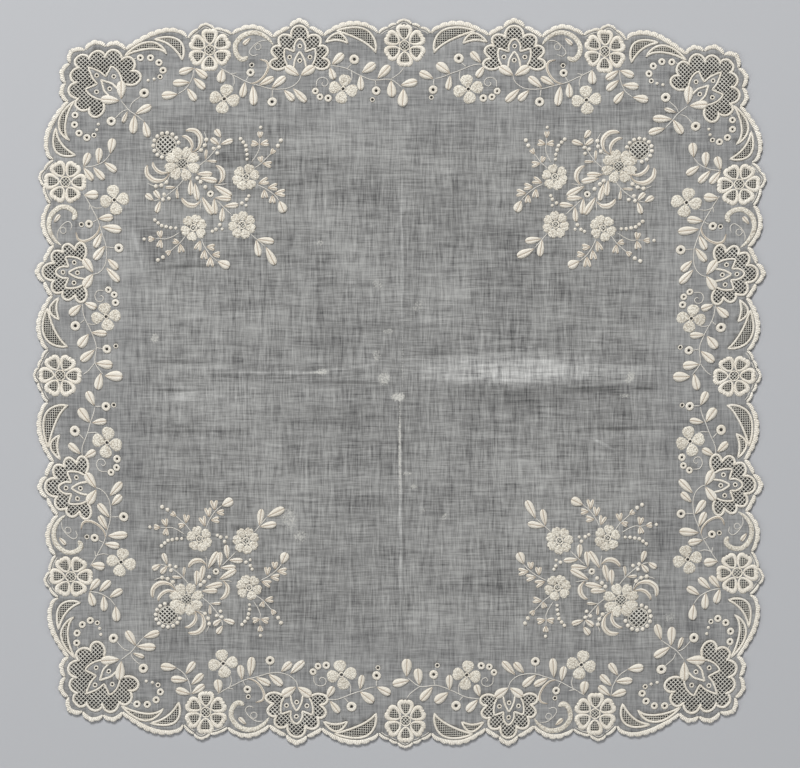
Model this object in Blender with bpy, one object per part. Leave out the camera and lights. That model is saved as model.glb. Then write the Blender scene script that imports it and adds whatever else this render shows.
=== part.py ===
"""Embroidered handkerchief: one square of sheer lawn with a scalloped edge and padded whitework.

The tables are in millimetres and the mesh is in metres, with +Z up. The cloth lies face up,
and the middle of its underside is the origin. One eighth of the border is charted, from the
middle of a side to a corner, and is turned and mirrored round the cloth. A smooth pull then
moves every motif to where it lies on the hand-made cloth.
"""
from collections import namedtuple
import math

import bmesh
import bpy
import numpy as np
from mathutils import Vector
from mathutils.geometry import delaunay_2d_cdt

MM = 0.001

# Sizes of the cloth
HALF_SIDE = 190.0
CLOTH_THICKNESS = 1.0
EDGING_HEIGHT = 0.45
RIM_HEIGHT = 0.55
LEAF_HEIGHT = 0.65
PETAL_HEIGHT = 0.45
NET_DEPTH = 0.3
NARROW_LEAF = 3.7
LONG_CRESCENT = 22.0
PULL_RADIUS = 62.0
FIELD_PITCH = 34.0
FIELD_HALF = 139.0
MERGE_DISTANCE = 0.02

# Sizes of the round motifs
ROSETTE_TIP = 11.4
ROSETTE_NOTCH = 7.4
FOUR_PETAL_TIP = 7.1
FOUR_PETAL_NOTCH = 3.4
DAISY_TIP = 9.3
DAISY_NOTCH = 4.4
FIELD_FLOWER_TIP = 7.2
FIELD_FLOWER_NOTCH = 2.9
NET_BALL_RADIUS = 7.6

# A bow is a curve from one notch to the next: a runs along the side from its middle,
# d inward from the outermost line, rise is its height and peak the share of its length
# where it is highest. Scallops are the small steps worked along it.
Bow = namedtuple("Bow", "a0 d0 a1 d1 rise peak scallops width")
EDGE_BOWS = (
    Bow(-4.0, 2.2, 4.0, 2.2, 2.2, 0.50, 0, 1.1),
    Bow(4.0, 2.2, 8.5, 4.0, 0.6, 0.50, 0, 1.1),
    Bow(8.5, 4.0, 13.8, 7.1, 0.7, 0.50, 0, 1.1),
    Bow(13.8, 7.1, 42.9, 8.9, 6.2, 0.45, 6, 2.5),
    Bow(42.9, 8.9, 50.3, 4.7, 1.0, 0.50, 2, 1.8),
    Bow(50.3, 4.7, 61.1, 4.7, 4.0, 0.50, 3, 1.9),
    Bow(61.1, 4.7, 69.8, 9.7, 1.0, 0.50, 2, 1.8),
    Bow(69.8, 9.7, 91.0, 7.8, 5.1, 0.50, 5, 2.2),
    Bow(91.0, 7.8, 99.8, 4.6, 0.9, 0.50, 0, 1.1),
    Bow(99.8, 4.6, 108.4, 4.6, 2.4, 0.55, 0, 1.1),
    Bow(108.4, 4.6, 113.6, 9.3, 0.6, 0.50, 0, 1.1),
    Bow(113.6, 9.3, 145.0, 16.0, 6.6, 0.38, 6, 2.4),
    Bow(145.0, 16.0, 155.2, 14.4, 3.2, 0.50, 2, 1.9),
    Bow(155.2, 14.4, 165.8, 16.4, 3.4, 0.50, 2, 1.9),
    Bow(165.8, 16.4, 173.6, 24.2, 4.5, 0.50, 3, 2.0),
)
SCALLOP_RISE = 0.45
PLAIN_STEP = 3.4
EDGING_STEP = 6.5

# A crescent lies between two bows that share its tips
Crescent = namedtuple("Crescent", "a0 d0 a1 d1 outer_rise outer_peak inner_rise inner_peak")
CRESCENTS = (
    Crescent(14.4, 18.2, 37.0, 6.0, 8.8, 0.42, 1.6, 0.4),
    Crescent(28.8, 13.0, 43.0, 12.6, 5.9, 0.46, 1.1, 0.5),
    Crescent(115.5, 21.9, 131.5, 9.6, 7.9, 0.43, 2.2, 0.5),
    Crescent(123.0, 18.0, 146.5, 19.6, 7.7, 0.42, 3.4, 0.4),
)

# The stitched scroll: its route and its width at each point of the route
RoutePoint = namedtuple("RoutePoint", "a d width")
SCROLL = (
    RoutePoint(69.7, 13.9, 0.8),
    RoutePoint(73.4, 9.6, 1.8),
    RoutePoint(80.9, 7.3, 2.4),
    RoutePoint(85.7, 9.0, 2.4),
    RoutePoint(89.1, 13.2, 2.4),
    RoutePoint(89.0, 17.6, 2.4),
    RoutePoint(86.6, 20.9, 2.6),
    RoutePoint(83.0, 19.8, 2.2),
)

# A leaf runs from its stalk end to its round end
Leaf = namedtuple("Leaf", "a0 d0 a1 d1 width")
LONG_SPRAY = (
    Leaf(0.7, 36.6, 1.1, 46.1, 4.8),
    Leaf(2.2, 34.8, -6.5, 32.9, 4.0),
    Leaf(7.1, 32.2, 6.7, 41.0, 4.4),
    Leaf(23.4, 29.6, 23.3, 37.7, 3.3),
    Leaf(14.3, 31.5, 7.9, 24.5, 4.0),
    Leaf(22.7, 28.5, 15.5, 23.4, 4.4),
    Leaf(39.7, 26.0, 37.5, 32.2, 3.6),
    Leaf(38.6, 24.5, 32.5, 18.3, 4.0),
)
SHORT_SPRAY = (
    Leaf(38.7, 23.4, 33.9, 17.4, 3.5),
    Leaf(40.4, 25.1, 36.9, 31.1, 3.3),
    Leaf(23.3, 28.8, 16.5, 23.4, 4.5),
    Leaf(14.8, 31.4, 7.6, 27.9, 3.9),
    Leaf(23.3, 29.7, 22.1, 37.4, 3.0),
)
FAN_SPRAY = (
    Leaf(59.1, 37.0, 51.9, 44.0, 3.6),
    Leaf(63.9, 37.9, 58.4, 43.3, 3.5),
    Leaf(70.4, 36.7, 63.1, 30.9, 3.6),
    Leaf(76.8, 35.0, 69.3, 31.1, 3.3),
    Leaf(79.9, 35.0, 78.9, 45.6, 3.9),
    Leaf(84.0, 33.2, 85.2, 41.2, 3.5),
    Leaf(95.7, 26.1, 96.5, 33.4, 4.2),
)
CORNER_SPRAY = (
    Leaf(109.8, 25.6, 103.4, 30.6, 3.4),
    Leaf(110.2, 25.6, 117.8, 28.0, 3.6),
    Leaf(110.3, 30.6, 104.1, 36.4, 3.4),
    Leaf(112.0, 33.0, 120.6, 33.5, 3.5),
    Leaf(113.2, 36.1, 108.6, 42.7, 3.4),
    Leaf(117.8, 39.3, 126.0, 40.3, 4.0),
)
# Halves of a side that carry the long spray: the side, turned from the top one, and the half
LONG_SPRAY_HALVES = ((0, -1), (1, 1), (2, -1), (3, -1))

# Round motifs of one eighth of the border
Place = namedtuple("Place", "a d turn")
OUTER_ROSETTE = Place(102.3, 16.0, 30.0)
MIDDLE_ROSETTE = Place(0.0, 13.8, 30.0)
FOUR_PETAL_FLOWERS = (Place(32.6, 37.2, 10.0), Place(94.0, 41.9, 10.0))
FAN_JOIN = Place(55.7, 30.3, 0.0)

# The fan, from its join: x across, y outward, one half from the lowest petal to the top
Point = namedtuple("Point", "x y")
FAN_HALF = (
    Point(7.6, 4.0), Point(11.5, 3.4), Point(15.2, 4.4), Point(15.7, 7.2), Point(14.0, 9.2),
    Point(15.0, 12.0), Point(13.8, 15.2), Point(10.7, 16.0), Point(10.4, 19.8), Point(7.2, 21.5),
    Point(3.9, 20.9), Point(3.4, 24.8), Point(0.0, 26.3),
)
FAN_NETS = (Point(0.0, 22.7), Point(6.6, 17.8), Point(11.3, 12.6), Point(11.2, 6.6))
FAN_NET_RADIUS = 1.9
FAN_FLOWER_HALF = (
    Point(5.9, 6.9), Point(8.0, 11.4), Point(7.2, 14.8), Point(2.7, 15.4), Point(0.0, 19.8),
)
FAN_LEAF = Leaf(0.2, 0.6, 7.4, 5.7, 4.0)

# The corner fan, measured from the middle of the cloth, one half up to the diagonal
CORNER_HALF = (
    Point(141.2, 156.4), Point(138.2, 158.6), Point(139.2, 162.4), Point(142.6, 163.8),
    Point(142.6, 167.4), Point(145.8, 170.2), Point(149.2, 169.8), Point(151.0, 173.2),
    Point(155.0, 173.4), Point(156.8, 170.8), Point(159.4, 172.8), Point(163.0, 172.0),
    Point(164.4, 169.6), Point(167.2, 171.2),
)
CORNER_NETS = (
    Point(142.2, 159.8), Point(146.8, 166.0), Point(153.1, 169.4), Point(160.2, 168.2),
)
CORNER_NET_RADIUS = 2.0
CORNER_TULIP_HALF = (
    Point(147.7, 158.1), Point(149.7, 162.3), Point(154.5, 165.5), Point(156.0, 159.5),
    Point(161.2, 162.3),
)
CORNER_LEAVES = (
    Leaf(146.5, 43.0, 147.9, 32.8, 4.2),
    Leaf(139.0, 51.0, 129.0, 51.0, 3.8),
    Leaf(139.3, 51.0, 144.4, 59.0, 3.8),
)

# Sprays in the four quarters of the field, measured from the middle of the cloth
FIELD_LEAVES = (
    Leaf(106.1, 81.2, 97.7, 81.3, 2.8),
    Leaf(104.4, 83.2, 95.1, 85.0, 2.8),
    Leaf(97.1, 87.2, 87.7, 92.5, 3.1),
    Leaf(96.4, 93.5, 87.9, 94.0, 2.8),
    Leaf(91.7, 97.8, 84.1, 97.2, 2.8),
    Leaf(74.7, 115.3, 65.8, 116.4, 3.2),
    Leaf(63.6, 95.3, 60.7, 101.3, 4.0),
)
DAISY = Point(114.0, 113.4)
DAISY_TURNS = (-155.0, -106.0, -64.0, -18.0, 18.0, 64.0, 106.0, 155.0)
NET_BALL = Point(123.0, 122.4)
SIDE_FLOWER = Point(80.9, 107.0)
SIDE_FLOWER_TURNS = (40.0, 108.0, 167.0, 233.0, 292.0, 343.0)
MIDDLE_FLOWER = Point(82.2, 82.2)
MIDDLE_FLOWER_PETALS = 7
HORN = Crescent(112.2, 58.3, 108.1, 69.7, 7.2, 0.5, 4.9, 0.5)

# Where the motifs lie on the cloth: the chart's place and the hand-made one
Pull = namedtuple("Pull", "chart_x chart_y x y")
PULLS = (
    Pull(-102.3, 174.0, -99.7, 173.5),
    Pull(0.0, 176.2, 2.0, 175.8),
    Pull(102.3, 174.0, 106.7, 172.8),
    Pull(-102.3, -174.0, -101.8, -172.4),
    Pull(0.0, -176.2, 2.5, -176.9),
    Pull(102.3, -174.0, 101.5, -173.2),
    Pull(-174.0, 102.3, -175.2, 104.7),
    Pull(-176.2, 0.0, -177.9, 3.6),
    Pull(-174.0, -102.3, -172.2, -101.5),
    Pull(174.0, 102.3, 176.7, 103.3),
    Pull(176.2, 0.0, 174.1, 3.2),
    Pull(174.0, -102.3, 175.8, -99.6),
    Pull(-55.7, 159.7, -52.7, 160.1),
    Pull(55.7, 159.7, 59.2, 160.1),
    Pull(-55.7, -159.7, -54.3, -159.1),
    Pull(55.7, -159.7, 56.6, -159.5),
    Pull(-159.7, 55.7, -160.7, 56.8),
    Pull(-159.7, -55.7, -159.1, -55.7),
    Pull(159.7, 55.7, 159.7, 55.7),
    Pull(159.7, -55.7, 159.1, -54.2),
    Pull(-146.5, 146.5, -146.0, 147.1),
    Pull(146.5, 146.5, 149.9, 144.4),
    Pull(-146.5, -146.5, -146.0, -145.0),
    Pull(146.5, -146.5, 148.2, -145.2),
    Pull(-113.1, 113.1, -113.8, 113.2),
    Pull(113.1, 113.1, 113.1, 112.4),
    Pull(113.1, -113.1, 114.7, -113.0),
    Pull(-113.1, -113.1, -111.0, -113.1),
)

# Press folds of the cloth, from edge to edge of the field: across is the fixed place
# at each end, and height is that of the ridge that the fold left
Fold = namedtuple("Fold", "upright start end across0 across1 height")
FOLDS = (
    Fold(True, -128.0, 136.0, 0.4, 2.0, 0.40),
    Fold(False, -140.0, 18.0, 2.4, -3.4, 0.30),
    Fold(False, 18.0, 140.0, 5.4, 1.2, 0.45),
    Fold(False, 20.0, 136.0, -7.0, -5.5, -0.20),
)
FOLD_STEP = 34.0

# Soft swells of the field
Swell = namedtuple("Swell", "x y radius height")
SWELLS = (
    Swell(60.0, 4.0, 46.0, 0.30),
    Swell(-52.0, -74.0, 40.0, 0.25),
    Swell(-120.0, 30.0, 34.0, 0.25),
    Swell(30.0, -104.0, 38.0, 0.20),
    Swell(12.0, 92.0, 42.0, -0.15),
    Swell(-84.0, 62.0, 30.0, -0.10),
)


def pull_weights():
    """Weights that carry each chart place to its place on the cloth."""
    chart = np.array([(pull.chart_x, pull.chart_y) for pull in PULLS])
    cloth = np.array([(pull.x, pull.y) for pull in PULLS])
    gaps = np.linalg.norm(chart[:, None, :] - chart[None, :, :], axis=2)
    return chart, np.linalg.solve(np.exp(-(gaps / PULL_RADIUS) ** 2), cloth - chart)


PULL_CHART, PULL_WEIGHTS = pull_weights()


def pulled(x, y):
    """The place on the cloth of a point of the chart."""
    gaps = np.hypot(PULL_CHART[:, 0] - x, PULL_CHART[:, 1] - y)
    shift = np.exp(-(gaps / PULL_RADIUS) ** 2) @ PULL_WEIGHTS
    return x + float(shift[0]), y + float(shift[1])


def quarter_turned(x, y, turns):
    """A point turned anticlockwise round the cloth by quarter turns."""
    for _ in range(turns % 4):
        x, y = -y, x
    return x, y


def bow_point(bow, share, rise, peak):
    """A point of a bow in chart terms, with its outward direction."""
    run, drop = bow.a1 - bow.a0, bow.d1 - bow.d0
    length = math.hypot(run, drop)
    out_a, out_d = drop / length, -run / length
    warped = share ** (math.log(0.5) / math.log(peak))
    height = rise * math.sin(math.pi * warped) ** 0.8 if 0.0 < share < 1.0 else 0.0
    return bow.a0 + run * share + out_a * height, bow.d0 + drop * share + out_d * height, out_a, out_d


def bow_shares(bow, steps):
    """Shares along a bow: half of one that a mirror line cuts, else all but its last point."""
    first = steps // 2 if bow.a0 < 0.0 else 0
    last = steps // 2 + 1 if bow.d1 > 24.0 else steps
    return [step / steps for step in range(first, last)]


def half_edge():
    """The scalloped edge of an eighth of the cloth, as chart points from side to corner."""
    points = []
    for bow in EDGE_BOWS:
        length = math.hypot(bow.a1 - bow.a0, bow.d1 - bow.d0)
        steps = 2 * bow.scallops or 2 * max(1, round(length / (2 * PLAIN_STEP)))
        for share in bow_shares(bow, steps):
            a, d, out_a, out_d = bow_point(bow, share, bow.rise, bow.peak)
            bump = SCALLOP_RISE * abs(math.sin(math.pi * bow.scallops * share))
            points.append((a + out_a * bump, d + out_d * bump))
    return points


def half_edging_foot():
    """The inner foot of the edging of an eighth of the cloth."""
    points = []
    for bow in EDGE_BOWS:
        length = math.hypot(bow.a1 - bow.a0, bow.d1 - bow.d0)
        steps = 2 * max(1, round(length / (2 * EDGING_STEP)))
        for share in bow_shares(bow, steps):
            a, d, out_a, out_d = bow_point(bow, share, bow.rise, bow.peak)
            width = 0.9 + (bow.width - 0.9) * math.sin(math.pi * share)
            points.append((a - out_a * width, d - out_d * width))
    return points


def round_the_cloth(half):
    """Closes eight turned and mirrored copies of a chart line that starts on a side's middle."""
    line = []
    for side in range(4):
        turns = -side
        quarter = [(-a, HALF_SIDE - d) for a, d in reversed(half[1:])]
        quarter += [(a, HALF_SIDE - d) for a, d in half[:-1]]
        line += [quarter_turned(x, y, turns) for x, y in quarter]
    return line


class Relief:
    """The raised lines and points of the cloth's face, in millimetres on the cloth."""

    def __init__(self):
        self.points = []
        self.edges = []

    def add_points(self, chart_points, height):
        """Adds loose points of one height and returns their numbers."""
        first = len(self.points)
        self.points += [(*pulled(x, y), height) for x, y in chart_points]
        return list(range(first, len(self.points)))

    def add_line(self, chart_points, height, closed=True):
        """Adds a line of one height, closed into a ring unless told otherwise."""
        numbers = self.add_points(chart_points, height)
        self.edges += list(zip(numbers, numbers[1:]))
        if closed:
            self.edges.append((numbers[-1], numbers[0]))


def side_place(side, half):
    """A function from a chart place (a, d) to x and y, for one half of one side."""
    return lambda a, d: quarter_turned(half * a, HALF_SIDE - d, side)


def leaf_outline(leaf, place):
    """A drop: pointed at its stalk and round at its far end. Returns its rim and its crown."""
    run, drop = leaf.a1 - leaf.a0, leaf.d1 - leaf.d0
    length = math.hypot(run, drop)
    across_a, across_d = -drop / length, run / length
    stations = ((0.0, 0.0), (0.52, 0.48), (0.88, 0.34), (0.88, -0.34), (0.52, -0.48))
    if leaf.width < NARROW_LEAF:
        stations = ((0.0, 0.0), (0.6, 0.5), (1.0, 0.0), (0.6, -0.5))
    rim = []
    for along, across in stations:
        reach = leaf.width * across
        rim.append(place(leaf.a0 + run * along + across_a * reach,
                         leaf.d0 + drop * along + across_d * reach))
    return rim, place(leaf.a0 + run * 0.62, leaf.d0 + drop * 0.62)


def add_leaf(relief, leaf, place):
    """Raises a padded leaf."""
    rim, crown = leaf_outline(leaf, place)
    relief.add_line(rim, 0.0)
    relief.add_points([crown], LEAF_HEIGHT)


def ring_point(centre, radius, turn):
    """A point on a ring, with the turn in degrees anticlockwise from +X."""
    angle = math.radians(turn)
    return centre[0] + radius * math.cos(angle), centre[1] + radius * math.sin(angle)


def add_flower(relief, centre, turns, tip, notch, spread):
    """Raises a flat flower: two rim points to each petal, a notch between, a crown on each."""
    turns = sorted(turn % 360.0 for turn in turns)
    rim = []
    for turn, following in zip(turns, turns[1:] + [turns[0] + 360.0]):
        rim += [ring_point(centre, tip, turn - spread), ring_point(centre, tip, turn + spread)]
        rim.append(ring_point(centre, notch, (turn + following) / 2.0))
    relief.add_line(rim, 0.0)
    relief.add_points([ring_point(centre, tip * 0.62, turn) for turn in turns], PETAL_HEIGHT)


def add_rosette(relief, centre, first_turn):
    """Raises a rosette's six rims round their sunk nets."""
    turns = [first_turn + 60.0 * petal for petal in range(6)]
    rim = []
    crest = []
    for turn in turns:
        rim += [ring_point(centre, ROSETTE_TIP, turn - 14.0), ring_point(centre, ROSETTE_TIP, turn + 14.0),
                ring_point(centre, ROSETTE_NOTCH, turn + 30.0)]
        crest += [ring_point(centre, ROSETTE_TIP * 0.88, turn - 13.0),
                  ring_point(centre, ROSETTE_TIP * 0.88, turn + 13.0),
                  ring_point(centre, ROSETTE_TIP * 0.46, turn + 30.0)]
        window = [ring_point(centre, ROSETTE_TIP * 0.74, turn - 11.0),
                  ring_point(centre, ROSETTE_TIP * 0.74, turn + 11.0),
                  ring_point(centre, ROSETTE_TIP * 0.34, turn)]
        relief.add_line(window, -NET_DEPTH)
    relief.add_line(rim, 0.0)
    relief.add_line(crest, RIM_HEIGHT)


def add_net_petals(relief, nets, radius, place):
    """Sinks a small three-cornered net inside each netted petal."""
    for net in nets:
        corners = [ring_point((net.x, net.y), radius, turn) for turn in (90.0, 210.0, 330.0)]
        relief.add_line([place(x, y) for x, y in corners], -NET_DEPTH)


def mirrored_line(half):
    """A symmetric outline from its right half, which ends on the axis."""
    return [(p.x, p.y) for p in half] + [(-p.x, p.y) for p in reversed(half[:-1])]


def drawn_in(points, centre, share):
    """A smaller copy of an outline, drawn in towards a centre."""
    return [(centre[0] + (x - centre[0]) * share, centre[1] + (y - centre[1]) * share)
            for x, y in points]


def add_fan(relief, side, half):
    """Raises a fan: seven netted petals round a flower on two leaves."""
    side_to_cloth = side_place(side, half)

    def place(x, y):
        return side_to_cloth(FAN_JOIN.a + x, FAN_JOIN.d - y)

    rim = mirrored_line(FAN_HALF)
    relief.add_line([place(x, y) for x, y in rim], 0.0)
    crest = drawn_in(rim[1:-1:2], (0.0, 12.0), 0.91)
    relief.add_line([place(x, y) for x, y in crest], RIM_HEIGHT, closed=False)
    nets = FAN_NETS + tuple(Point(-net.x, net.y) for net in FAN_NETS[1:])
    add_net_petals(relief, nets, FAN_NET_RADIUS, place)
    flower = mirrored_line(FAN_FLOWER_HALF)
    relief.add_line([place(x, y) for x, y in flower], RIM_HEIGHT)
    relief.add_points([place(0.0, 12.6)], RIM_HEIGHT)
    for mirror in (1.0, -1.0):
        leaf = Leaf(FAN_LEAF.a0 * mirror, FAN_LEAF.d0, FAN_LEAF.a1 * mirror, FAN_LEAF.d1, FAN_LEAF.width)
        add_leaf(relief, leaf, place)


def add_corner(relief, corner):
    """Raises the corner fan, its tulip and its leaves, even about the diagonal."""
    def place(x, y):
        return quarter_turned(x, y, corner)

    rim = [(p.x, p.y) for p in CORNER_HALF]
    rim += [(p.y, p.x) for p in reversed(CORNER_HALF)]
    relief.add_line([place(x, y) for x, y in rim], 0.0)
    crest = drawn_in(rim[1:-1:2], (155.0, 155.0), 0.93)
    relief.add_line([place(x, y) for x, y in crest], RIM_HEIGHT, closed=False)
    nets = CORNER_NETS + tuple(Point(net.y, net.x) for net in CORNER_NETS) + (Point(166.4, 166.4),)
    add_net_petals(relief, nets, CORNER_NET_RADIUS, place)
    tulip = [(p.x, p.y) for p in CORNER_TULIP_HALF] + [(165.4, 165.4)]
    tulip += [(p.y, p.x) for p in reversed(CORNER_TULIP_HALF)] + [(149.6, 149.6)]
    relief.add_line([place(x, y) for x, y in tulip], RIM_HEIGHT)
    for leaf in CORNER_LEAVES:
        add_leaf(relief, leaf, lambda a, d: place(a, HALF_SIDE - d))
        add_leaf(relief, leaf, lambda a, d: place(HALF_SIDE - d, a))


def crescent_outline(crescent, steps):
    """The rim of a crescent, and a crown line half way between its two bows."""
    outer = [bow_point(crescent, step / steps, crescent.outer_rise, crescent.outer_peak)[:2]
             for step in range(steps + 1)]
    inner = [bow_point(crescent, step / steps, crescent.inner_rise, crescent.inner_peak)[:2]
             for step in range(steps + 1)]
    crown = [((a0 + a1) / 2.0, (d0 + d1) / 2.0) for (a0, d0), (a1, d1) in zip(outer, inner)][1:-1]
    return outer + inner[-2:0:-1], crown


def add_crescent(relief, crescent, place):
    """Raises a crescent, with a step for each stretch of its length."""
    length = math.hypot(crescent.a1 - crescent.a0, crescent.d1 - crescent.d0)
    rim, crown = crescent_outline(crescent, 3 if length < LONG_CRESCENT else 4)
    relief.add_line([place(a, d) for a, d in rim], 0.0)
    relief.add_line([place(a, d) for a, d in crown], PETAL_HEIGHT, closed=False)


def add_scroll(relief, place):
    """Raises the stitched scroll along its route."""
    left = []
    right = []
    for number, point in enumerate(SCROLL):
        before = SCROLL[max(number - 1, 0)]
        after = SCROLL[min(number + 1, len(SCROLL) - 1)]
        run, drop = after.a - before.a, after.d - before.d
        reach = point.width / 2.0 / math.hypot(run, drop)
        left.append((point.a - drop * reach, point.d + run * reach))
        right.append((point.a + drop * reach, point.d - run * reach))
    relief.add_line([place(a, d) for a, d in left + right[::-1]], 0.0)
    relief.add_line([place(p.a, p.d) for p in SCROLL[1:-1]], PETAL_HEIGHT, closed=False)


def add_border_half(relief, side, half):
    """Raises what one half of one side carries."""
    place = side_place(side, half)
    for crescent in CRESCENTS:
        add_crescent(relief, crescent, place)
    add_scroll(relief, place)
    turn = 90.0 * side
    centre = place(OUTER_ROSETTE.a, OUTER_ROSETTE.d)
    add_rosette(relief, centre, OUTER_ROSETTE.turn + turn)
    for flower in FOUR_PETAL_FLOWERS:
        turns = [turn + half * flower.turn + 90.0 * petal for petal in range(4)]
        add_flower(relief, place(flower.a, flower.d), turns, FOUR_PETAL_TIP, FOUR_PETAL_NOTCH, 22.0)
    add_fan(relief, side, half)
    spray = LONG_SPRAY if (side, half) in LONG_SPRAY_HALVES else SHORT_SPRAY
    for leaf in spray + FAN_SPRAY + CORNER_SPRAY:
        add_leaf(relief, leaf, place)


def add_field_spray(relief, corner):
    """Raises the spray in one quarter of the field, even about the diagonal."""
    def place(x, y):
        return quarter_turned(x, y, corner)

    turn = 90.0 * corner
    daisy_turns = [turn + 45.0 + petal for petal in DAISY_TURNS]
    add_flower(relief, place(DAISY.x, DAISY.y), daisy_turns, DAISY_TIP, DAISY_NOTCH, 10.0)
    ball = [ring_point((NET_BALL.x, NET_BALL.y), NET_BALL_RADIUS, 45.0 + petal * 45.0) for petal in range(-2, 3)]
    relief.add_line([place(x, y) for x, y in ball], 0.0, closed=False)
    relief.add_points([place(NET_BALL.x + 1.5, NET_BALL.y + 1.5)], PETAL_HEIGHT)
    for mirror in (1, -1):
        turns = [turn + (petal if mirror == 1 else 90.0 - petal) for petal in SIDE_FLOWER_TURNS]
        centre = (SIDE_FLOWER.x, SIDE_FLOWER.y)[::mirror]
        add_flower(relief, place(*centre), turns, FIELD_FLOWER_TIP, FIELD_FLOWER_NOTCH, 15.0)
        for leaf in FIELD_LEAVES:
            add_leaf(relief, leaf, lambda a, d: place(*(a, HALF_SIDE - d)[::mirror]))
        add_crescent(relief, HORN, lambda a, d: place(*(a, HALF_SIDE - d)[::mirror]))
    middle_turns = [turn + 45.0 + 360.0 * petal / MIDDLE_FLOWER_PETALS for petal in range(MIDDLE_FLOWER_PETALS)]
    centre = place(MIDDLE_FLOWER.x, MIDDLE_FLOWER.y)
    add_flower(relief, centre, middle_turns, FIELD_FLOWER_TIP, FIELD_FLOWER_NOTCH, 13.0)


def add_folds(relief):
    """Lays the press folds, as ridges between two feet."""
    for fold in FOLDS:
        steps = round((fold.end - fold.start) / FOLD_STEP)
        for across, height in ((-3.2, 0.0), (0.0, fold.height), (3.2, 0.0)):
            line = []
            for step in range(1, steps):
                share = step / steps
                along = fold.start + (fold.end - fold.start) * share
                offset = fold.across0 + (fold.across1 - fold.across0) * share + across
                line.append((offset, along) if fold.upright else (along, offset))
            relief.add_line(line, height, closed=False)


def add_field_points(relief):
    """Adds the plain field's own points, which carry its swells."""
    steps = int(FIELD_HALF // FIELD_PITCH)
    points = []
    for column in range(-steps, steps + 1):
        for row in range(-steps, steps + 1):
            x, y = column * FIELD_PITCH + 7.0, row * FIELD_PITCH + 9.0
            in_spray = 56.0 < abs(x) and 56.0 < abs(y)
            if not in_spray and max(abs(x), abs(y)) < FIELD_HALF and min(abs(x), abs(y)) > 6.5:
                points.append((x, y))
    relief.add_points(points, 0.0)


def swell_height(x, y):
    """Height of the field's soft swells at a place on the cloth."""
    height = 0.0
    for swell in SWELLS:
        reach = math.hypot(x - swell.x, y - swell.y) / swell.radius
        height += swell.height * math.exp(-reach * reach)
    return height


def face_of_the_cloth():
    """The cloth's face: a mesh without thickness, with every raised line as its edges."""
    relief = Relief()
    relief.add_line(round_the_cloth(half_edge()), EDGING_HEIGHT)
    relief.add_line(round_the_cloth(half_edging_foot()), 0.0)
    for side in range(4):
        add_rosette(relief, side_place(side, 1)(MIDDLE_ROSETTE.a, MIDDLE_ROSETTE.d),
                    MIDDLE_ROSETTE.turn + 90.0 * side)
        add_corner(relief, side)
        add_field_spray(relief, side)
        for half in (1, -1):
            add_border_half(relief, side, half)
    add_folds(relief)
    add_field_points(relief)

    left, right = (pick(x for x, _, _ in relief.points) for pick in (min, max))
    near, far = (pick(y for _, y, _ in relief.points) for pick in (min, max))
    flat = [Vector((x - (left + right) / 2.0, y - (near + far) / 2.0)) for x, y, _ in relief.points]
    places, _, triangles, origins, _, _ = delaunay_2d_cdt(flat, relief.edges, [], 1, MERGE_DISTANCE)
    face = bmesh.new()
    corners = []
    for place, sources in zip(places, origins):
        height = max((relief.points[source][2] for source in sources), default=0.0)
        top = CLOTH_THICKNESS + height + swell_height(place.x, place.y)
        corners.append(face.verts.new((place.x * MM, place.y * MM, top * MM)))
    for triangle in triangles:
        face.faces.new([corners[number] for number in triangle])
    loose = [vert for vert in face.verts if not vert.link_faces]
    bmesh.ops.delete(face, geom=loose, context="VERTS")
    bmesh.ops.recalc_face_normals(face, faces=face.faces)
    if sum(polygon.normal.z for polygon in face.faces) < 0.0:
        bmesh.ops.reverse_faces(face, faces=face.faces)
    return face


def thicken(face):
    """Draws the face down to a flat underside, whose inner edges are then dissolved."""
    drawn = bmesh.ops.extrude_face_region(face, geom=face.faces[:], use_keep_orig=True)
    under_faces = [item for item in drawn["geom"] if isinstance(item, bmesh.types.BMFace)]
    under_verts = {vert for polygon in under_faces for vert in polygon.verts}
    for vert in under_verts:
        vert.co.z = 0.0
    inner_edges = [edge for edge in {edge for polygon in under_faces for edge in polygon.edges}
                   if all(polygon in set(under_faces) for polygon in edge.link_faces)]
    bmesh.ops.dissolve_edges(face, edges=inner_edges, use_verts=True)
    bmesh.ops.recalc_face_normals(face, faces=face.faces)
    bmesh.ops.triangulate(face, faces=face.faces[:])


def cotton_material():
    """Sheer cotton lawn, greyish cream."""
    material = bpy.data.materials.new("cotton_lawn")
    material.use_nodes = True
    shader = material.node_tree.nodes["Principled BSDF"]
    shader.inputs["Base Color"].default_value = (0.62, 0.60, 0.55, 1.0)
    shader.inputs["Roughness"].default_value = 0.9
    shader.inputs["Metallic"].default_value = 0.0
    return material


def build_handkerchief():
    """Makes the one piece of the part."""
    face = face_of_the_cloth()
    thicken(face)
    mesh = bpy.data.meshes.new("handkerchief")
    face.to_mesh(mesh)
    face.free()
    mesh.materials.append(cotton_material())
    cloth = bpy.data.objects.new("handkerchief", mesh)
    bpy.context.scene.collection.objects.link(cloth)


for old in list(bpy.data.objects):
    bpy.data.objects.remove(old)
build_handkerchief()
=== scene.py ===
"""Embroidered handkerchief: sheer lawn with a scalloped edge, padded whitework and needle nets.

The chart is in millimetres, from the middle of the cloth. One eighth of the border is charted
and is turned and mirrored round the cloth; a smooth pull then moves each motif to where it
lies on the hand-made cloth, as in the solid that the cloth stands for.
"""
from __future__ import annotations

from dataclasses import dataclass
from enum import Enum
import logging
import math

import bmesh
import bpy
import numpy as np
from mathutils import Matrix, Vector
from mathutils.geometry import delaunay_2d_cdt


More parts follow.
